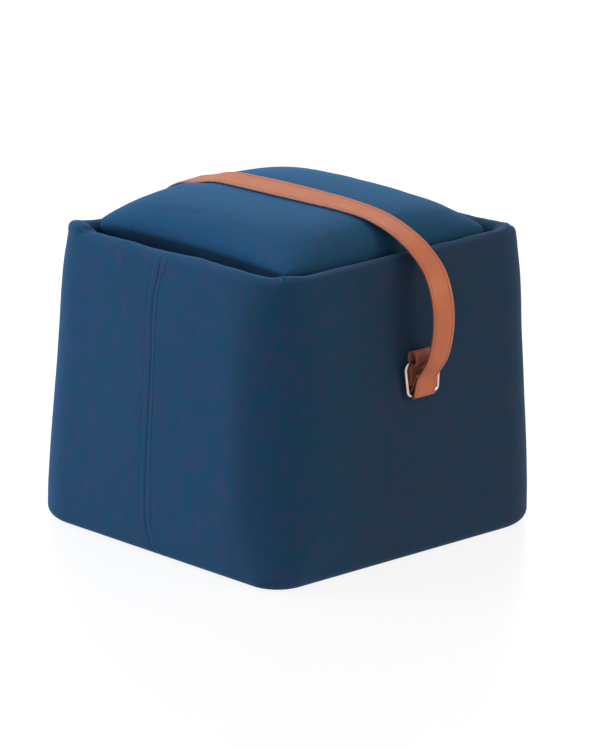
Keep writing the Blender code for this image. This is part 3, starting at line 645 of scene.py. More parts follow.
def body_levels():
    """(z, half, corner, near corner, fullness, kind) from the base panel's seat, round the foot,
    up the walls, over the rim and down into the recess."""
    foot, top = BODY_WALL[0], BODY_WALL[-1]
    levels = []
    for inset, z in ((BASE_INSET - GAP, BASE_THICKNESS + GAP), (BASE_INSET - GAP, 0.0007), (BASE_INSET - 0.0012, 0.0)):
        levels.append((z, foot.half - inset, foot.corner - inset, foot.near_corner - inset, 0, "under"))
    for inset in (0.0210, 0.0190, 0.0183, 0.0176, 0.0160, 0.0140):
        levels.append((0.0, foot.half - inset, foot.corner - inset, foot.near_corner - inset, 0, "under"))
    for step in range(12):
        angle = math.radians(90 * step / 11)
        inset = FOOT_ROUND * (1 - math.sin(angle))
        z = FOOT_ROUND * (1 - math.cos(angle))
        levels.append((z, foot.half - inset, foot.corner - inset, foot.near_corner - inset, 0, "foot"))
    heights = np.concatenate([np.linspace(foot.z, 0.318, 76)[1:], np.linspace(0.318, top.z, 20)[1:]])
    for z, (half, corner, near) in zip(heights, hermite(BODY_WALL, heights)):
        full = FACE_BULGE * math.sin(math.pi * (z - foot.z) / (top.z - foot.z))
        levels.append((z, half, corner, near, full, "wall"))
    across, rise = RIM_THICKNESS / 2, RIM_HEIGHT - top.z
    for angle in np.concatenate([np.linspace(0, 90, 19)[1:], np.linspace(90, 180, 13)[1:]]):
        angle = math.radians(angle)
        inset = across * (1 - math.cos(angle))
        share = inset / RIM_THICKNESS
        corner = (1 - share) * top.corner + share * INNER_CORNER
        near = (1 - share) * top.near_corner + share * INNER_CORNER
        kind = "crest" if angle <= math.pi / 2 else "inside"
        levels.append((top.z + rise * math.sin(angle), top.half - inset, corner, near, 0, kind))
    inner = top.half - RIM_THICKNESS
    for z in (0.340, 0.336, 0.331, 0.326, 0.321, 0.317):
        levels.append((z, inner - 0.001 * (0.343 - z) / 0.027, INNER_CORNER, INNER_CORNER, 0, "inside"))
    for step in (1, 2, 3):
        angle = math.radians(30 * step)
        inset = 0.001 + 0.004 * (1 - math.cos(angle))
        z = RECESS_FLOOR + 0.004 * (1 - math.sin(angle))
        levels.append((z, inner - inset, INNER_CORNER - 0.001 * step, INNER_CORNER - 0.001 * step, 0, "inside"))
    return levels


def seam_dip(past, z):
    """The seam's own relief in metres, inwards: a pulled-in middle, two topstitched lines and the
    soft ridges between them."""
    far, near = hermite(SEAM, z)[..., 1], hermite(SEAM, z)[..., 2]
    far_line, near_line = past + far, past - near
    dip = SEAM_GROOVE * bell(past, 0.00095) + 0.00020 * bell(past, 0.0026)
    dip += STITCH_GROOVE * 0.70 * bell(far_line, 0.00085) + STITCH_GROOVE * 1.20 * bell(near_line, 0.00085)
    dip -= 0.00012 * bell(past + far * 0.52, 0.0028) + 0.00014 * bell(past - near * 0.52, 0.0026)
    edge = ramp(SEAM_ZONE - np.abs(past), 0.0, 0.004)
    return dip * edge


def make_body():
    levels = body_levels()
    foot, top = BODY_WALL[0], BODY_WALL[-1]
    rows, pasts, heights, corners_at, whose = [], [], [], [], []
    for z, half, corner, near, full, kind in levels:
        seam_y = hermite(SEAM, z)[0]
        x, y, past, cornerness, which = outline(half, [corner, corner, near, corner], z, full, float(seam_y))
        sag = crest_sag(x, y, z, half)
        rows.append(np.stack([x, y, np.full_like(x, z) - sag], axis=1))
        pasts.append(past)
        heights.append(np.full_like(x, z))
        corners_at.append(cornerness)
        whose.append(which)
    grid = np.array(rows)
    past, height, cornerness, which = (np.array(part) for part in (pasts, heights, corners_at, whose))
    count_rows, count = grid.shape[:2]
    kinds = [level[5] for level in levels]
    wall = np.array([kind in ("foot", "wall", "crest") for kind in kinds])
    crest_row = max(i for i, kind in enumerate(kinds) if kind == "crest")

    # outward directions from the grid itself
    down = np.empty_like(grid)
    down[1:-1] = grid[2:] - grid[:-2]
    down[0], down[-1] = grid[1] - grid[0], grid[-1] - grid[-2]
    side = np.roll(grid, -1, axis=1) - np.roll(grid, 1, axis=1)
    normal = np.cross(side, down)
    normal /= np.maximum(1e-12, np.linalg.norm(normal, axis=2, keepdims=True))
    middle = grid[count_rows // 2]
    if (normal[count_rows // 2] * (middle - middle.mean(axis=0))).sum() < 0:
        normal = -normal

    # distance down the outer side from the crest
    steps = np.linalg.norm(np.diff(grid, axis=0), axis=2)
    drop = np.zeros((count_rows, count))
    for i in range(crest_row - 1, -1, -1):
        drop[i] = drop[i + 1] + steps[i]
    for i in range(crest_row + 1, count_rows):
        drop[i] = drop[i - 1] - steps[i - 1]

    flat = grid.reshape(-1, 3)
    move = np.zeros((count_rows, count))
    # the seam, which fades out under the rim
    fade = ramp(drop, 0.0035, 0.0190) * (0.55 + 0.45 * ramp(height, 0.0, 0.030))
    move -= seam_dip(past, height) * fade * wall[:, None]
    # small puckers along it where the cover turns over the rim and under the foot
    near_top = bell(drop - 0.030, 0.014)
    near_foot = bell(height - 0.016, 0.012)
    pucker = np.sin(past * 2 * math.pi / 0.0052 + height * 90) * bell(past, 0.012)
    move += 0.00022 * pucker * (near_top + 0.9 * near_foot) * wall[:, None]
    # a crease under the crest that comes in at each corner
    reach = np.choose(which, [0.060, 0.050, 0.030, 0.056])
    strength = np.choose(which, [0.9, 1.6, 0.35, 1.0])
    strength = np.where(which == 1, strength * ramp(cornerness, 0.001, 0.009), strength)
    line = RIM_CREASE_DOWN + 0.04 * np.abs(cornerness)
    line = np.where(which == 1, 0.0066, line)
    crease = bell(drop - line, 0.0016) - 0.45 * bell(drop - line + 0.0042, 0.0028) - 0.30 * bell(drop - line - 0.0046, 0.0034)
    move -= RIM_CREASE_DEPTH * strength * crease * (1 - ramp(np.abs(cornerness), reach * 0.70, reach)) * (drop > -0.004)
    # the far left corner is stuffed a little fuller under its crest
    at_ear = np.where(which == 1, cornerness, 1.0)
    move += 0.0026 * bell(at_ear, 0.022) * bell(drop - 0.0100, 0.0062)
    # a short tuck over the near corner's crest
    at_near = np.where(which == 2, cornerness, 1.0)
    tuck = 0.0010 * bell(at_near + 0.0004, 0.0016) - 0.0009 * bell(at_near - 0.0036, 0.0018) - 0.0005 * bell(at_near + 0.0046, 0.0020)
    move += tuck * bell(drop - 0.0045, 0.0062)
    # slow unevenness of the filling, none of it under the foot or in the recess
    slow = field(flat, 7.5, 4.0).reshape(count_rows, count)
    small = field(flat, 21.0, 9.0).reshape(count_rows, count)
    broad = ramp(height, 0.010, 0.060) * ramp(drop, 0.010, 0.050)
    move += (0.0010 * slow + 0.00034 * small) * broad
    # the hem's thickness shows as a soft step some way under the crest
    move += 0.00032 * ramp(drop, 0.034, 0.026) * ramp(drop, 0.001, 0.008)
    # the foot's turned edge, drawn in by the stitching under it
    hem = np.array([1.0 if kind == "under" and 0.0170 < foot.half - level[1] < 0.0190 else 0.0 for kind, level in zip(kinds, levels)])
    lift = hem[:, None] * 0.0007
    grid = grid + normal * move[..., None]
    grid[..., 2] += lift
    # the crest itself is a little wavy
    wave = field(np.c_[flat[:, :2], np.zeros(len(flat))], 30.0, 2.0).reshape(count_rows, count)
    wave += 0.6 * field(np.c_[flat[:, :2], np.zeros(len(flat))], 62.0, 5.0).reshape(count_rows, count)
    grid[..., 2] += 0.00075 * wave * ramp(drop, 0.026, 0.002) * ramp(drop, -0.022, -0.006)
    for i, kind in enumerate(kinds):
        if kind == "under" and hem[i] == 0:
            grid[i, :, 2] = levels[i][0]
    grid[..., 2] = np.maximum(grid[..., 2], 0.0)

    points = list(grid.reshape(-1, 3))
    faces = skin_faces(count_rows, count)
    # the recess floor and the panel's seat, as shrinking rings down to one point
    for row, level_z, sign in ((count_rows - 1, RECESS_FLOOR, 1), (0, levels[0][0], 1)):
        ring = grid[row]
        centre = ring.mean(axis=0)
        previous = [row * count + j for j in range(count)]
        for share in (0.80, 0.55, 0.30, 0.12):
            first = len(points)
            points.extend(centre + (ring - centre) * share)
            current = [first + j for j in range(count)]
            faces.extend((previous[j], previous[(j + 1) % count], current[(j + 1) % count], current[j]) for j in range(count))
            previous = current
        points.append(centre)
        faces.extend(cap_faces(previous, len(points) - 1))
    body = mesh_object("pouf_body", points, faces, [VELVET])
    return body, grid, past, kinds


def seam_stitches(grid, past, kinds):
    """Points and directions for the stitches in the two topstitched lines: it reads the finished
    surface, so each stitch lies in its groove."""
    rows = [i for i, kind in enumerate(kinds) if kind in ("wall", "crest")]
    lines = []
    for sign, column in ((-1, 1), (1, 2)):
        line = []
        for i in rows:
            at = hermite(SEAM, float(grid[i, :, 2].mean()))
            target = sign * float(at[column])
            zone = np.where(np.abs(past[i]) < SEAM_ZONE - 0.0005)[0]
            zone = zone[np.argsort(past[i][zone])]
            place = past[i][zone]
            point = [np.interp(target, place, grid[i, zone, k]) for k in range(3)]
            line.append(point)
        lines.append(np.array(line))
    return lines


def capsule_rows(points, tangents, ups, long, half_wide, half_high, sides=8):
    """Small rounded stitches, one at each point, along its tangent and flattened along up."""
    profile = [(-0.5, 0.0), (-0.46, 0.55), (-0.34, 0.9), (0.0, 1.0), (0.34, 0.9), (0.46, 0.55), (0.5, 0.0)]
    made, faces = [], []
    for point, tangent, up in zip(points, tangents, ups):
        tangent = tangent / np.linalg.norm(tangent)
        side = np.cross(up, tangent)
        side /= np.linalg.norm(side)
        up = np.cross(tangent, side)
        first = len(made)
        made.append(point + tangent * profile[0][0] * long)
        for t, r in profile[1:-1]:
            arch = up * half_high * 0.9 * (1 - (2 * t) ** 2)
            for k in range(sides):
                angle = 2 * math.pi * k / sides
                made.append(point + arch + tangent * t * long + side * math.cos(angle) * r * half_wide + up * math.sin(angle) * r * half_high)
        made.append(point + tangent * profile[-1][0] * long)
        last = len(made) - 1
        rings = len(profile) - 2
        for k in range(sides):
            m = (k + 1) % sides
            faces.append((first, first + 1 + m, first + 1 + k))
            for ring in range(rings - 1):
                a, b = first + 1 + ring * sides, first + 1 + (ring + 1) * sides
                faces.append((a + k, a + m, b + m, b + k))
            end = first + 1 + (rings - 1) * sides
            faces.append((end + k, end + m, last))
    return made, faces


def spaced_on(line, pitch, start=0.0, stop=0.0):
    """Points and tangents at an even pitch along a polyline."""
    lengths = np.concatenate([[0], np.cumsum(np.linalg.norm(np.diff(line, axis=0), axis=1))])
    at = np.arange(start, lengths[-1] - stop, pitch)
    places = np.stack([np.interp(at, lengths, line[:, k]) for k in range(3)], axis=1)
    ahead = np.stack([np.interp(at + pitch * 0.4, lengths, line[:, k]) for k in range(3)], axis=1)
    behind = np.stack([np.interp(at - pitch * 0.4, lengths, line[:, k]) for k in range(3)], axis=1)
    return places, ahead - behind


body, body_grid, body_past, body_kinds = make_body()

made, faces = [], []
for line in seam_stitches(body_grid, body_past, body_kinds):
    places, tangents = spaced_on(line, 0.0042, 0.004, 0.030)
    out = np.tile([-1.0, 0.0, 0.06], (len(places), 1))
    more, more_faces = capsule_rows(places + out * 0.00006, tangents, out, 0.0031, 0.00030, 0.00024)
    faces.extend(tuple(index + len(made) for index in face) for face in more_faces)
    made.extend(more)
seam_stitching = mesh_object("seam_stitching", made, faces, [BLUE_THREAD])


# ---------------------------------------------------------------- the base panel
def make_base_panel():
    foot = BODY_WALL[0]
    half = foot.half - BASE_INSET - GAP
    corners = [foot.corner - BASE_INSET] * 4
    corners[2] = foot.near_corner - BASE_INSET
    x, y = outline(half, corners, 0.0, 0, 0.0)[:2]
    ring = np.stack([x, y], axis=1)
    points, faces = [], []
    count = len(ring)
    profile = [(0.0, 0.0006), (0.0006, 0.0), (0.004, 0.0)]
    profile += [(0.0045, 0.0006), (0.0060, 0.0006), (0.0066, 0.0)]

    def level(inset, z):
        scale = (half - inset) / half
        return [(px * scale, py * scale, z) for px, py in ring]

    for inset, z in profile + [(0.05, 0.0), (0.10, 0.0), (0.15, 0.0)]:
        points.extend(level(inset, z))
    rows = len(points) // count
    points_top = []
    for inset, z in ((0.0, BASE_THICKNESS - 0.0006), (0.0006, BASE_THICKNESS), (0.06, BASE_THICKNESS), (0.13, BASE_THICKNESS)):
        points_top.extend(level(inset, z))
    first_top = len(points)
    points.extend(points_top)
    faces.extend(skin_faces(rows, count))
    faces.extend(skin_faces(4, count, first_top))
    faces.extend((j, (j + 1) % count, first_top + (j + 1) % count, first_top + j) for j in range(count))
    points.append((0.0, 0.0, 0.0))
    faces.extend(cap_faces([(rows - 1) * count + j for j in range(count)], len(points) - 1))
    points.append((0.0, 0.0, BASE_THICKNESS))
    faces.extend(cap_faces([first_top + 3 * count + j for j in range(count)], len(points) - 1))
    return mesh_object("base_cloth_panel", points, faces, [BASE_CLOTH])


base_panel = make_base_panel()


# ---------------------------------------------------------------- the strap's run
def strap_middle():
    upper = smooth_path([tuple(row) for row in STRAP_PATH], 8)
    found = []
    for i, (y, z, x, roll) in enumerate(upper):
        before, after = upper[max(0, i - 1)], upper[min(len(upper) - 1, i + 1)]
        run = Vector((after[0] - before[0], after[1] - before[1])).normalized()
        inward = Vector((run.y, -run.x))
        found.append((y + inward.x * STRAP_THICKNESS / 2, z + inward.y * STRAP_THICKNESS / 2, x, roll))
    return found


STRAP_LINE = strap_middle()
OVER = np.array([row for row in STRAP_LINE if row[1] > 0.33])
OVER = OVER[np.argsort(OVER[:, 0])]


def strap_over(y):
    """The strap's middle over points of the seat, as x, z and roll in radians."""
    z, x, roll = (np.interp(y, OVER[:, 0], OVER[:, k]) for k in (1, 2, 3))
    return x, z, np.radians(roll)


def face_y(z, side):
    half = float(np.interp(z, [row.z for row in BODY_WALL], [row.half for row in BODY_WALL]))
    share = (z - BODY_WALL[0].z) / (BODY_WALL[-1].z - BODY_WALL[0].z)
    return side * (half + FACE_BULGE * math.sin(math.pi * share)) + LEAN[1] * z


def ring_line(side):
    bar = (face_y(RING_BAR_Z, side) + side * RING_BAR_OUT, RING_BAR_Z)
    low = (face_y(RING_LOW_Z, side) + side * RING_LOW_OUT, RING_LOW_Z)
    return bar, low


def fold_points(line, side):
    """From the end of `line` down to the ring, round its low wire, and back up close behind."""
    low = ring_line(side)[1]
    centre = Vector(low)
    reach = WIRE + 2 * GAP + STRAP_THICKNESS / 2
    start = Vector(line[0][:2])
    to_centre = centre - start
    distance = to_centre.length
    lead = math.asin(reach / distance)
    base = math.atan2(to_centre.y, to_centre.x)
    options = []
    for sign in (1, -1):
        aim = base + sign * lead
        touch = start + Vector((math.cos(aim), math.sin(aim))) * math.sqrt(distance**2 - reach**2)
        options.append((side * touch.x, touch, sign))
    touch = max(options, key=lambda option: option[0])[1]
    found = [start + (touch - start) * t for t in (0.35, 0.7, 1.0)]
    first = math.atan2(touch.y - centre.y, touch.x - centre.x)
    spin = 1 if side < 0 else -1
    leave = math.radians(24 if side < 0 else 156)
    turn = (leave - first) * spin % (2 * math.pi)
    for step in range(1, 19):
        angle = first + spin * turn * step / 18
        found.append(centre + Vector((math.cos(angle), math.sin(angle))) * reach)
    clear = STRAP_THICKNESS + 0.0005
    travelled, climbing = 0.0, []
    points = [Vector(p[:2]) for p in line]
    before = touch
    for here, after in zip(points, points[1:]):
        travelled += (here - before).length
        if travelled > STRAP_TURN_BACK:
            break
        run = (after - before).normalized()
        behind = Vector((run.y, -run.x)) if side < 0 else Vector((-run.y, run.x))
        share = travelled / STRAP_TURN_BACK
        before = here
        if travelled > 0.010:
            climbing.append(here + behind * (clear + (2 * reach - clear) * (1 - share) ** 1.5))
    found += climbing
    return [(p.x, p.y, STRAP_X, 0.0) for p in found]


def strap_frames(spacing):
    """Even points along the whole strap with its own directions: along, across and outwards."""
    line = fold_points(STRAP_LINE, -1)[::-1] + STRAP_LINE + fold_points(STRAP_LINE[::-1], 1)
    even, length = even_path(line, spacing)
    frames = []
    for i in range(len(even)):
        before, after = even[max(0, i - 1)], even[min(len(even) - 1, i + 1)]
        run = Vector((0, after[0] - before[0], after[1] - before[1])).normalized()
        across = Vector((1, 0, 0))
        up = across.cross(run)
        tilt = math.radians(even[i][3])
        wide = across * math.cos(tilt) + up * math.sin(tilt)
        high = up * math.cos(tilt) - across * math.sin(tilt)
        frames.append((np.array((even[i][2], even[i][0], even[i][1])), np.array(run), np.array(wide), np.array(high)))
    return frames, length


def strap_profile():
    """Half the strap's cross-section, right side, from the middle of its upper face round to the
    middle of its lower face, as (across, up)."""
    half, thick = STRAP_WIDTH / 2, STRAP_THICKNESS / 2
    line = half - EDGE_LINE
    upper = [
        (0.0, thick), (line * 0.45, thick), (line * 0.78, thick - 0.00003), (line - 0.0012, thick - 0.00012),
        (line - 0.0006, thick - 0.00026), (line, thick - 0.00042), (line + 0.0006, thick - 0.00026),
        (line + 0.0013, thick - 0.00012), (half - 0.0014, thick - 0.00014), (half - 0.0008, thick - 0.00024),
        (half - 0.00036, thick - 0.00046), (half - 0.00008, thick - 0.00082),
    ]
    lower = [(half - 0.00008, -thick + 0.00070), (half - 0.00036, -thick + 0.00034), (half - 0.0009, -thick + 0.0001), (line, -thick), (0.0, -thick)]
    return upper, lower


def make_strap():
    frames, length = strap_frames(0.0028)
    upper, lower = strap_profile()
    right = upper + [(upper[-1][0] + 0.00008, 0.0)] + lower
    left = [(-a, b) for a, b in reversed(right[1:-1])]
    profile = right + left
    count = len(profile)
    turn = len(upper)  # the index where the edge starts on the right side
    slots = []
    for j in range(count):
        (a, b), (c, d) = profile[j], profile[(j + 1) % count]
        middle_a, middle_b = (abs(a) + abs(c)) / 2, (b + d) / 2
        # slots: 0 face, 2 back; 1 the pale edge paint on the +X edge and the ends, reaching 1.3 mm onto the face as a
        # painted highlight; 3 the -X edge, darkened as painted shade
        if a + c > 0 and middle_a > STRAP_WIDTH / 2 - 0.0013:
            slots.append(1)
        elif middle_a > STRAP_WIDTH / 2 - 0.0007:
            slots.append(3)
        elif middle_b < 0:
            slots.append(2)
        else:
            slots.append(0)
    sections = []
    for i, (middle, run, wide, high) in enumerate(frames):
        s = i * 0.0028
        # a hand-cut edge is never quite straight, and the leather is a little full between its lines
        cut = 1 + 0.006 * noise.noise(Vector((s * 24, 1.0, 0.0)))
        sections.append([middle + wide * a * cut + high * b for a, b in profile])
    points = [p for section in sections for p in section]
    faces = skin_faces(len(sections), count)
    face_slots = [slots[j] for _ in range(len(sections) - 1) for j in range(count)]
    for end, ring in ((0, list(range(count))), (len(sections) - 1, list(range((len(sections) - 1) * count, len(sections) * count)))):
        centre = np.mean(sections[end], axis=0)
        points.append(centre)
        faces.extend(cap_faces(ring, len(points) - 1))
        face_slots.extend([1] * count)
    strap = mesh_object("handle_strap_leather", points, faces, [TAN, TAN_EDGE_AND_HIGHLIGHT, TAN_BACK, TAN_EDGE_PAINTED_SHADE], face_slots=face_slots)
    return strap, frames, length


strap, strap_rows, strap_length = make_strap()

made, faces = [], []
for side in (-1, 1):
    offset = side * (STRAP_WIDTH / 2 - EDGE_LINE)
    line = np.array([middle + wide * offset + high * (STRAP_THICKNESS / 2 - 0.00034) for middle, run, wide, high in strap_rows])
    lengths = np.concatenate([[0], np.cumsum(np.linalg.norm(np.diff(line, axis=0), axis=1))])
    places, tangents = spaced_on(line, STITCH_PITCH, 0.006, 0.006)
    at = np.arange(0.006, lengths[-1] - 0.006, STITCH_PITCH)
    ups = np.stack([np.interp(at, lengths, [row[3][k] for row in strap_rows]) for k in range(3)], axis=1)
    more, more_faces = capsule_rows(places, tangents, ups, STITCH_LONG, THREAD * 1.15, THREAD)
    faces.extend(tuple(index + len(made) for index in face) for face in more_faces)
    made.extend(more)
strap_stitching = mesh_object("strap_stitching", made, faces, [TAN_THREAD])


# ---------------------------------------------------------------- the seat cushion
def clear_of_neighbours(points):
    """Keeps the cushion under the strap and over the recess floor."""
    x, y, z = points[:, 0].copy(), points[:, 1].copy(), points[:, 2].copy()
    strap_x, strap_z, roll = strap_over(y)
    beyond = np.maximum(0.0, np.abs(x - strap_x) - STRAP_WIDTH / 2 - 0.001)
    beside = np.clip(x - strap_x, -STRAP_WIDTH / 2, STRAP_WIDTH / 2)
    underside = strap_z + beside * np.tan(roll) - STRAP_THICKNESS / 2 / np.cos(roll)
    limit = underside - GAP - 0.0003 + 0.30 * beyond + 9.0 * beyond**2
    blend = 0.0015
    room = limit - z
    pressed = np.where(room < -blend, limit, z - np.where(room < blend, (blend - room) ** 2 / (4 * blend), 0.0))
    z = np.where(z > 0.345, pressed, z)
    z = np.maximum(z, RECESS_FLOOR + GAP)
    return np.stack([x, y, z], axis=1)


def rounded_form(bm):
    """A closed mesh as a search tree with its corners and their normals, to read it as round."""
    bmesh.ops.triangulate(bm, faces=bm.faces)
    bm.normal_update()
    bm.faces.ensure_lookup_table()
    corners = [[vert.co.copy() for vert in face.verts] for face in bm.faces]
    normals = [[vert.normal.copy() for vert in face.verts] for face in bm.faces]
    return BVHTree.FromBMesh(bm), corners, normals


def near_form(points, form):
    """Keeps each point within a small distance of the cushion's measured form."""
    tree, corners, normals = form
    kept = []
    for point in points:
        point = Vector(point)
        spot, _, index, _ = tree.find_nearest(point)
        shares = poly_3d_calc(corners[index], spot)
        normal, full = Vector((0, 0, 0)), Vector((0, 0, 0))
        for share, corner, leaning in zip(shares, corners[index], normals[index]):
            normal += share * leaning
            full += share * (spot - leaning * (spot - corner).dot(leaning))
        normal.normalize()
        spot = 0.25 * spot + 0.75 * full
        out = (point - spot).dot(normal)
        if out > SEAT_OUT:
            point -= normal * (out - SEAT_OUT)
        elif out < -SEAT_IN:
            point -= normal * (out + SEAT_IN)
        kept.append(point)
    return np.array(kept)


def make_seat():
    """The CAD cushion's form, shrunk a little, remeshed, and blown up again as cloth."""
    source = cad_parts["seat_cushion"]
    mesh = source.data.copy()
    mesh.name = "seat_cushion_velvet"
    seat = bpy.data.objects.new("seat_cushion_velvet", mesh)
    bpy.context.scene.collection.objects.link(seat)
    bm = bmesh.new()
    bm.from_mesh(mesh)
    bmesh.ops.remove_doubles(bm, verts=bm.verts, dist=1e-5)
    bmesh.ops.recalc_face_normals(bm, faces=bm.faces)
    bm.normal_update()
    form = rounded_form(bm)
    for vert in bm.verts:
        vert.co -= vert.normal * SEAT_SHRINK
    bm.to_mesh(mesh)
    bm.free()
    mesh.materials.clear()
    mesh.materials.append(SEAT_VELVET)
    remesh = seat.modifiers.new("remesh", "REMESH")
    remesh.mode = "VOXEL"
    remesh.voxel_size = SEAT_VOXEL
    remesh.use_smooth_shade = True
    apply_modifiers(seat)
    mesh = seat.data
    start = np.empty(len(mesh.vertices) * 3, np.float32)
    mesh.vertices.foreach_get("co", start)
    start = start.reshape(-1, 3)
    inflate(seat, 4.0)
    after = np.empty(len(seat.data.vertices) * 3, np.float32)
    seat.data.vertices.foreach_get("co", after)
    after = after.reshape(-1, 3)
    move = after - start
    far = np.linalg.norm(move, axis=1, keepdims=True)
    move *= np.minimum(1.0, SEAT_CAP / np.maximum(far, 1e-9))
    moved = near_form(start + move, form)
    seat.data.vertices.foreach_set("co", clear_of_neighbours(moved).astype(np.float32).ravel())
    seat.data.update()
    fine = seat.modifiers.new("fine", "SUBSURF")
    fine.levels = fine.render_levels = 1
    apply_modifiers(seat)
    mesh = seat.data
    co = np.empty(len(mesh.vertices) * 3, np.float32)
    mesh.vertices.foreach_get("co", co)
    mesh.vertices.foreach_set("co", near_form(co.reshape(-1, 3), form).astype(np.float32).ravel())
    even = seat.modifiers.new("even", "SMOOTH")
    even.factor, even.iterations = 0.5, 8
    apply_modifiers(seat)
    mesh = seat.data
    mesh.vertices.foreach_get("co", co)
    mesh.vertices.foreach_set("co", clear_of_neighbours(co.reshape(-1, 3)).astype(np.float32).ravel())
    mesh.shade_smooth()
    mesh.update()
    return seat


def apply_modifiers(obj):
    graph = bpy.context.evaluated_depsgraph_get()
    done = bpy.data.meshes.new_from_object(obj.evaluated_get(graph), depsgraph=graph)
    name = obj.data.name
    old = obj.data
    obj.modifiers.clear()
    obj.data = done
    bpy.data.meshes.remove(old)
    done.name = name


def inflate(obj, pressure):
    """Fills the closed skin with air for twenty frames, with no gravity."""
    scene = bpy.context.scene
    cloth = obj.modifiers.new("air", "CLOTH")
    settings = cloth.settings
    settings.quality = 6
    settings.mass = 0.3
    settings.tension_stiffness = settings.compression_stiffness = 15
    settings.shear_stiffness = 6
    settings.bending_stiffness = 0.6
    settings.use_pressure = True
    settings.uniform_pressure_force = pressure
    settings.effector_weights.gravity = 0
    cloth.collision_settings.use_collision = False
    cloth.point_cache.frame_start, cloth.point_cache.frame_end = 1, 20
    scene.frame_start, scene.frame_end = 1, 20
    for number in range(1, 21):
        scene.frame_set(number)
    apply_modifiers(obj)
    scene.frame_set(1)


seat = make_seat()


# ---------------------------------------------------------------- rings and tabs
def rounded_path(corners, steps):
    """A closed flat path through (across, along, radius) corners, each one rounded."""
    found = []
    count = len(corners)
    for i, (a, b, radius) in enumerate(corners):
        here = Vector((a, b))
        back = (Vector(corners[i - 1][:2]) - here).normalized()
        ahead = (Vector(corners[(i + 1) % count][:2]) - here).normalized()
        opening = back.angle(ahead)
        trim = radius / math.tan(opening / 2)
        centre = here + (back + ahead).normalized() * radius / math.sin(opening / 2)
        start, end = here + back * trim, here + ahead * trim
        first = math.atan2(start.y - centre.y, start.x - centre.x)
        sweep = math.atan2(end.y - centre.y, end.x - centre.x) - first
        while sweep > math.pi:
            sweep -= 2 * math.pi
        while sweep < -math.pi:
            sweep += 2 * math.pi
        for step in range(steps + 1):
            angle = first + sweep * step / steps
            found.append(centre + Vector((math.cos(angle), math.sin(angle))) * radius)
    return found


def make_ring(name, side):
    bar, low = ring_line(side)
    height = math.dist(bar, low)
    down = Vector((0, low[0] - bar[0], low[1] - bar[1])).normalized()
    across = Vector((1, 0, 0))
    origin = Vector((STRAP_X + RING_SHIFT, bar[0], bar[1]))
    path = rounded_path(
        [
            (-RING_BAR_HALF, 0.0, RING_TOP_ROUND),
            (RING_BAR_HALF, 0.0, RING_TOP_ROUND),
            (RING_LOW_HALF, height, RING_LOW_ROUND),
            (-RING_LOW_HALF, height, RING_LOW_ROUND),
        ],
        14,
    )
    normal = across.cross(down)
    sections = []
    count = len(path)
    for i, point in enumerate(path):
        run = (path[(i + 1) % count] - path[i - 1]).normalized()
        run = across * run.x + down * run.y
        aside = normal.cross(run)
        middle = origin + across * point.x + down * point.y
        sections.append([middle + (aside * math.cos(a) + normal * math.sin(a)) * WIRE for a in (2 * math.pi * k / 18 for k in range(18))])
    points = [tuple(p) for section in sections for p in section]
    return mesh_object(name, points, skin_faces(count, 18, closed_rows=True), [GOLD])


ring_front = make_ring("ring_front_wire", -1)
ring_back = make_ring("ring_back_wire", 1)


def tab_path(side):
    """The tab's ply as a line in (distance out from the face, z): up the face, over the ring's
    bar, back in under it, and down over its own back ply."""
    bar_z = RING_BAR_Z
    hollow_low = bar_z - WIRE - GAP - 0.0002
    radius = (TAB_DEPTH - 2 * TAB_PLY) / 2
    mid = radius + TAB_PLY / 2
    centre = TAB_PLY + radius
    high, low = TAB_TOP - TAB_PLY - radius, hollow_low + radius
    back, front = TAB_PLY / 2, TAB_PLY * 1.5 + 0.0002
    points = [(back, TAB_TAIL_END + 0.0002), (back, TAB_TAIL_END + 0.010), (back, low - 0.004), (back, low), (back, high)]
    for step in range(1, 13):
        angle = math.pi - math.pi * step / 12
        points.append((centre + mid * math.cos(angle), high + mid * math.sin(angle)))
    points.append((centre + mid, low))
    for step in range(1, 9):
        angle = -math.radians(112) * step / 8
        points.append((centre + mid * math.cos(angle), low + mid * math.sin(angle)))
    points += [(front + 0.0009, low - mid - 0.0006), (front + 0.0001, low - mid - 0.0028), (front, low - mid - 0.0055), (front, TAB_TAIL_END + 0.0002)]
    return points


def make_tab(name, side):
    even, length = even_path(tab_path(side), 0.0011)
    half, thick, ease = TAB_WIDTH / 2, TAB_PLY / 2 - 0.00005, 0.00045
    edge = half - ease * 0.4
    profile = [
        (-half + ease, -thick), (-edge, -thick + ease * 0.4), (-half, -thick + ease), (-half, thick - ease), (-edge, thick - ease * 0.4),
        (-half + ease, thick), (-half + 0.003, thick), (0.0, thick), (half - 0.003, thick), (half - ease, thick), (edge, thick - ease * 0.4),
        (half, thick - ease), (half, -thick + ease), (edge, -thick + ease * 0.4), (half - ease, -thick), (0.0, -thick),
    ]
    edges = {0, 1, 2, 3, 9, 10, 11, 12, 13}
    sections, frames = [], []
    for i, (out, z) in enumerate(even):
        before, after = even[max(0, i - 1)], even[min(len(even) - 1, i + 1)]
        run = Vector((after[0] - before[0], after[1] - before[1])).normalized()
        outward = Vector((-run.y, run.x))  # to the left of the run: away from the hollow
        y_here = face_y(z, side) + side * (GAP + 0.0002)
        section = []
        for a, b in profile:
            o, h = out + outward.x * b, z + outward.y * b
            section.append(np.array((STRAP_X + a, y_here + side * o, h)))
        sections.append(section)
        frames.append((np.array((STRAP_X, y_here + side * out, z)), np.array((0, side * outward.x, outward.y))))
    count = len(profile)
    points = [p for section in sections for p in section]
    faces = skin_faces(len(sections), count)
    face_slots = [1 if j in edges else 0 for _ in range(len(sections) - 1) for j in range(count)]
    for end, first in ((0, 0), (len(sections) - 1, (len(sections) - 1) * count)):
        points.append(np.mean(sections[end], axis=0))
        faces.extend(cap_faces([first + j for j in range(count)], len(points) - 1))
        face_slots.extend([1] * count)
    tab = mesh_object(name, points, faces, [BROWN, BROWN_EDGE], face_slots=face_slots)
    return tab, length


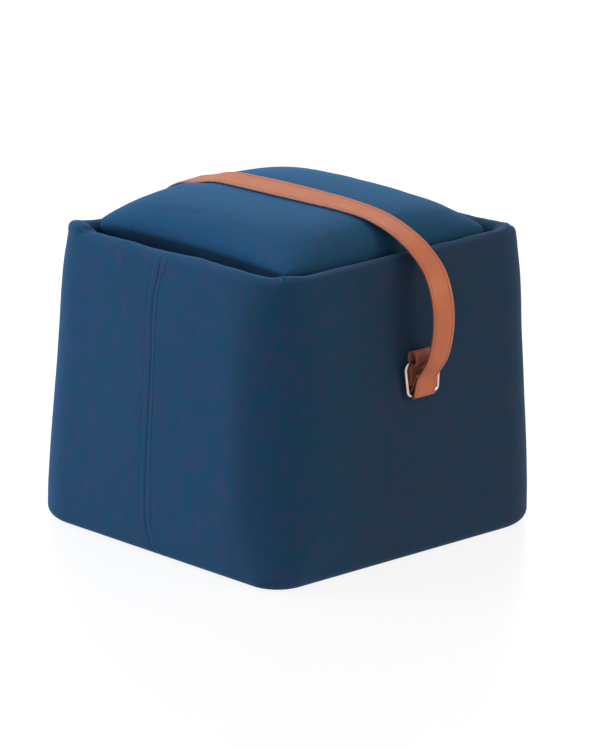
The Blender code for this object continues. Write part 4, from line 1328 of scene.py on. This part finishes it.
def tab_stitching(name, side):
    """Two rows across the tail, one just under the roll and one near the cut end."""
    made, faces = [], []
    for z in (0.2205, TAB_TAIL_END + 0.0042):
        y = face_y(z, side) + side * (GAP + 0.0002 + 2 * TAB_PLY + 0.0002)
        along = np.arange(-TAB_WIDTH / 2 + 0.0030, TAB_WIDTH / 2 - 0.0029, 0.0034)
        places = np.array([(STRAP_X + a, y, z) for a in along])
        tangents = np.tile([1.0, 0.0, 0.05], (len(places), 1))
        ups = np.tile([0.0, float(side), 0.0], (len(places), 1))
        more, more_faces = capsule_rows(places, tangents, ups, 0.0026, THREAD * 1.2, THREAD)
        faces.extend(tuple(index + len(made) for index in face) for face in more_faces)
        made.extend(more)
    return mesh_object(name, made, faces, [BROWN_THREAD])


tab_front, tab_length = make_tab("tab_front_leather", -1)
tab_back, _ = make_tab("tab_back_leather", 1)
tab_front_stitching = tab_stitching("tab_front_stitching", -1)
tab_back_stitching = tab_stitching("tab_back_stitching", 1)


# ---------------------------------------------------------------- what each piece is and rides on
for piece, node, slot in (
    (body, "body", "velvet"),
    (base_panel, "base_panel", "base_cloth"),
    (seat, "seat_cushion", "seat_velvet"),
    (strap, "handle_strap", "strap_leather"),
    (ring_front, "ring_front", "ring_metal"),
    (ring_back, "ring_back", "ring_metal"),
    (tab_front, "tab_front", "tab_leather"),
    (tab_back, "tab_back", "tab_leather"),
    (seam_stitching, None, "velvet"),
    (strap_stitching, None, "strap_leather"),
    (tab_front_stitching, None, "tab_leather"),
    (tab_back_stitching, None, "tab_leather"),
):
    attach(piece, "root")
    if node:
        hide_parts(node)


# ---------------------------------------------------------------- floor, light and camera
def stage_material(name, colour, glow, mirror, roughness):
    n = Nodes(name)
    faint = n.noise(1.3, 2.0, 0.5)
    n.set(Base_Color=n.mix(n.span(faint, 0.3, 0.7), colour, tuple(c * 0.99 for c in colour)))
    n.set(Roughness=n.span(faint, 0.3, 0.7, roughness, roughness + 0.03))
    n.put(n.shader, "Specular IOR Level", mirror)
    n.put(n.shader, "Emission Color", (1.0, 1.0, 1.0, 1.0))
    n.put(n.shader, "Emission Strength", glow)
    return n.material


floor_mesh = bpy.data.meshes.new("floor")
bm = bmesh.new()
bmesh.ops.create_grid(bm, x_segments=8, y_segments=8, size=9.0)
bm.to_mesh(floor_mesh)
bm.free()
floor = bpy.data.objects.new("floor", floor_mesh)
floor.location.z = -0.0004
bpy.context.scene.collection.objects.link(floor)
floor_mesh.materials.append(stage_material("floor_pale", (0.125, 0.123, 0.120), 0.862, 0.5, 0.26))
floor.visible_diffuse = floor.visible_glossy = False

world = bpy.data.worlds.new("studio")
bpy.context.scene.world = world
world.use_nodes = True
world.node_tree.nodes["Background"].inputs["Color"].default_value = (1.0, 0.85, 0.78, 1.0)
world.node_tree.nodes["Background"].inputs["Strength"].default_value = 0.75


def area_light(name, place, aim, size, power, colour=(1.0, 1.0, 1.0)):
    data = bpy.data.lights.new(name, "AREA")
    data.shape = "RECTANGLE"
    data.size, data.size_y = size
    data.energy = power
    data.color = colour
    obj = bpy.data.objects.new(name, data)
    bpy.context.scene.collection.objects.link(obj)
    obj.location = place
    obj.rotation_euler = (Vector(aim) - Vector(place)).to_track_quat("-Z", "Y").to_euler()
    return obj


area_light("key_left", (-2.0, 1.9, 1.1), (0, 0, 0.2), (1.3, 1.3), 58.0, (0.62, 0.86, 1.0))
area_light("top_back", (-0.6, 1.8, 2.1), (0, 0, 0.2), (1.6, 1.6), 22.0, (0.60, 0.82, 1.0))
area_light("top_right", (0.9, 1.0, 2.4), (0, 0, 0.2), (1.6, 1.6), 9.0)
area_light("front_fill", (0.95, -2.4, 1.2), (0, 0, 0.2), (0.7, 0.9), 17.5, (1.0, 0.77, 0.45))

CAMERA_TURN, CAMERA_DOWN, CAMERA_FAR, FOCAL_PIXELS, LONG_SIDE = -0.745651, 0.281292, 6.8, 5846.77, 750
right = Vector((math.cos(CAMERA_TURN), math.sin(CAMERA_TURN), 0))
back = Vector((math.sin(CAMERA_TURN) * math.cos(CAMERA_DOWN), -math.cos(CAMERA_TURN) * math.cos(CAMERA_DOWN), math.sin(CAMERA_DOWN)))
up = back.cross(right)
target = Vector((0, 0, 0.169976)) + right * 0.0154786
camera_data = bpy.data.cameras.new("camera")
camera_data.sensor_width = 36
camera_data.lens = FOCAL_PIXELS * 36 / LONG_SIDE
camera_data.clip_start, camera_data.clip_end = 0.1, 60
camera = bpy.data.objects.new("camera", camera_data)
bpy.context.scene.collection.objects.link(camera)
place = target + back * CAMERA_FAR
camera.matrix_world = Matrix(
    (
        (right.x, up.x, back.x, place.x),
        (right.y, up.y, back.y, place.y),
        (right.z, up.z, back.z, place.z),
        (0, 0, 0, 1),
    )
)
bpy.context.scene.camera = camera
bpy.context.scene.view_settings.view_transform = "Standard"
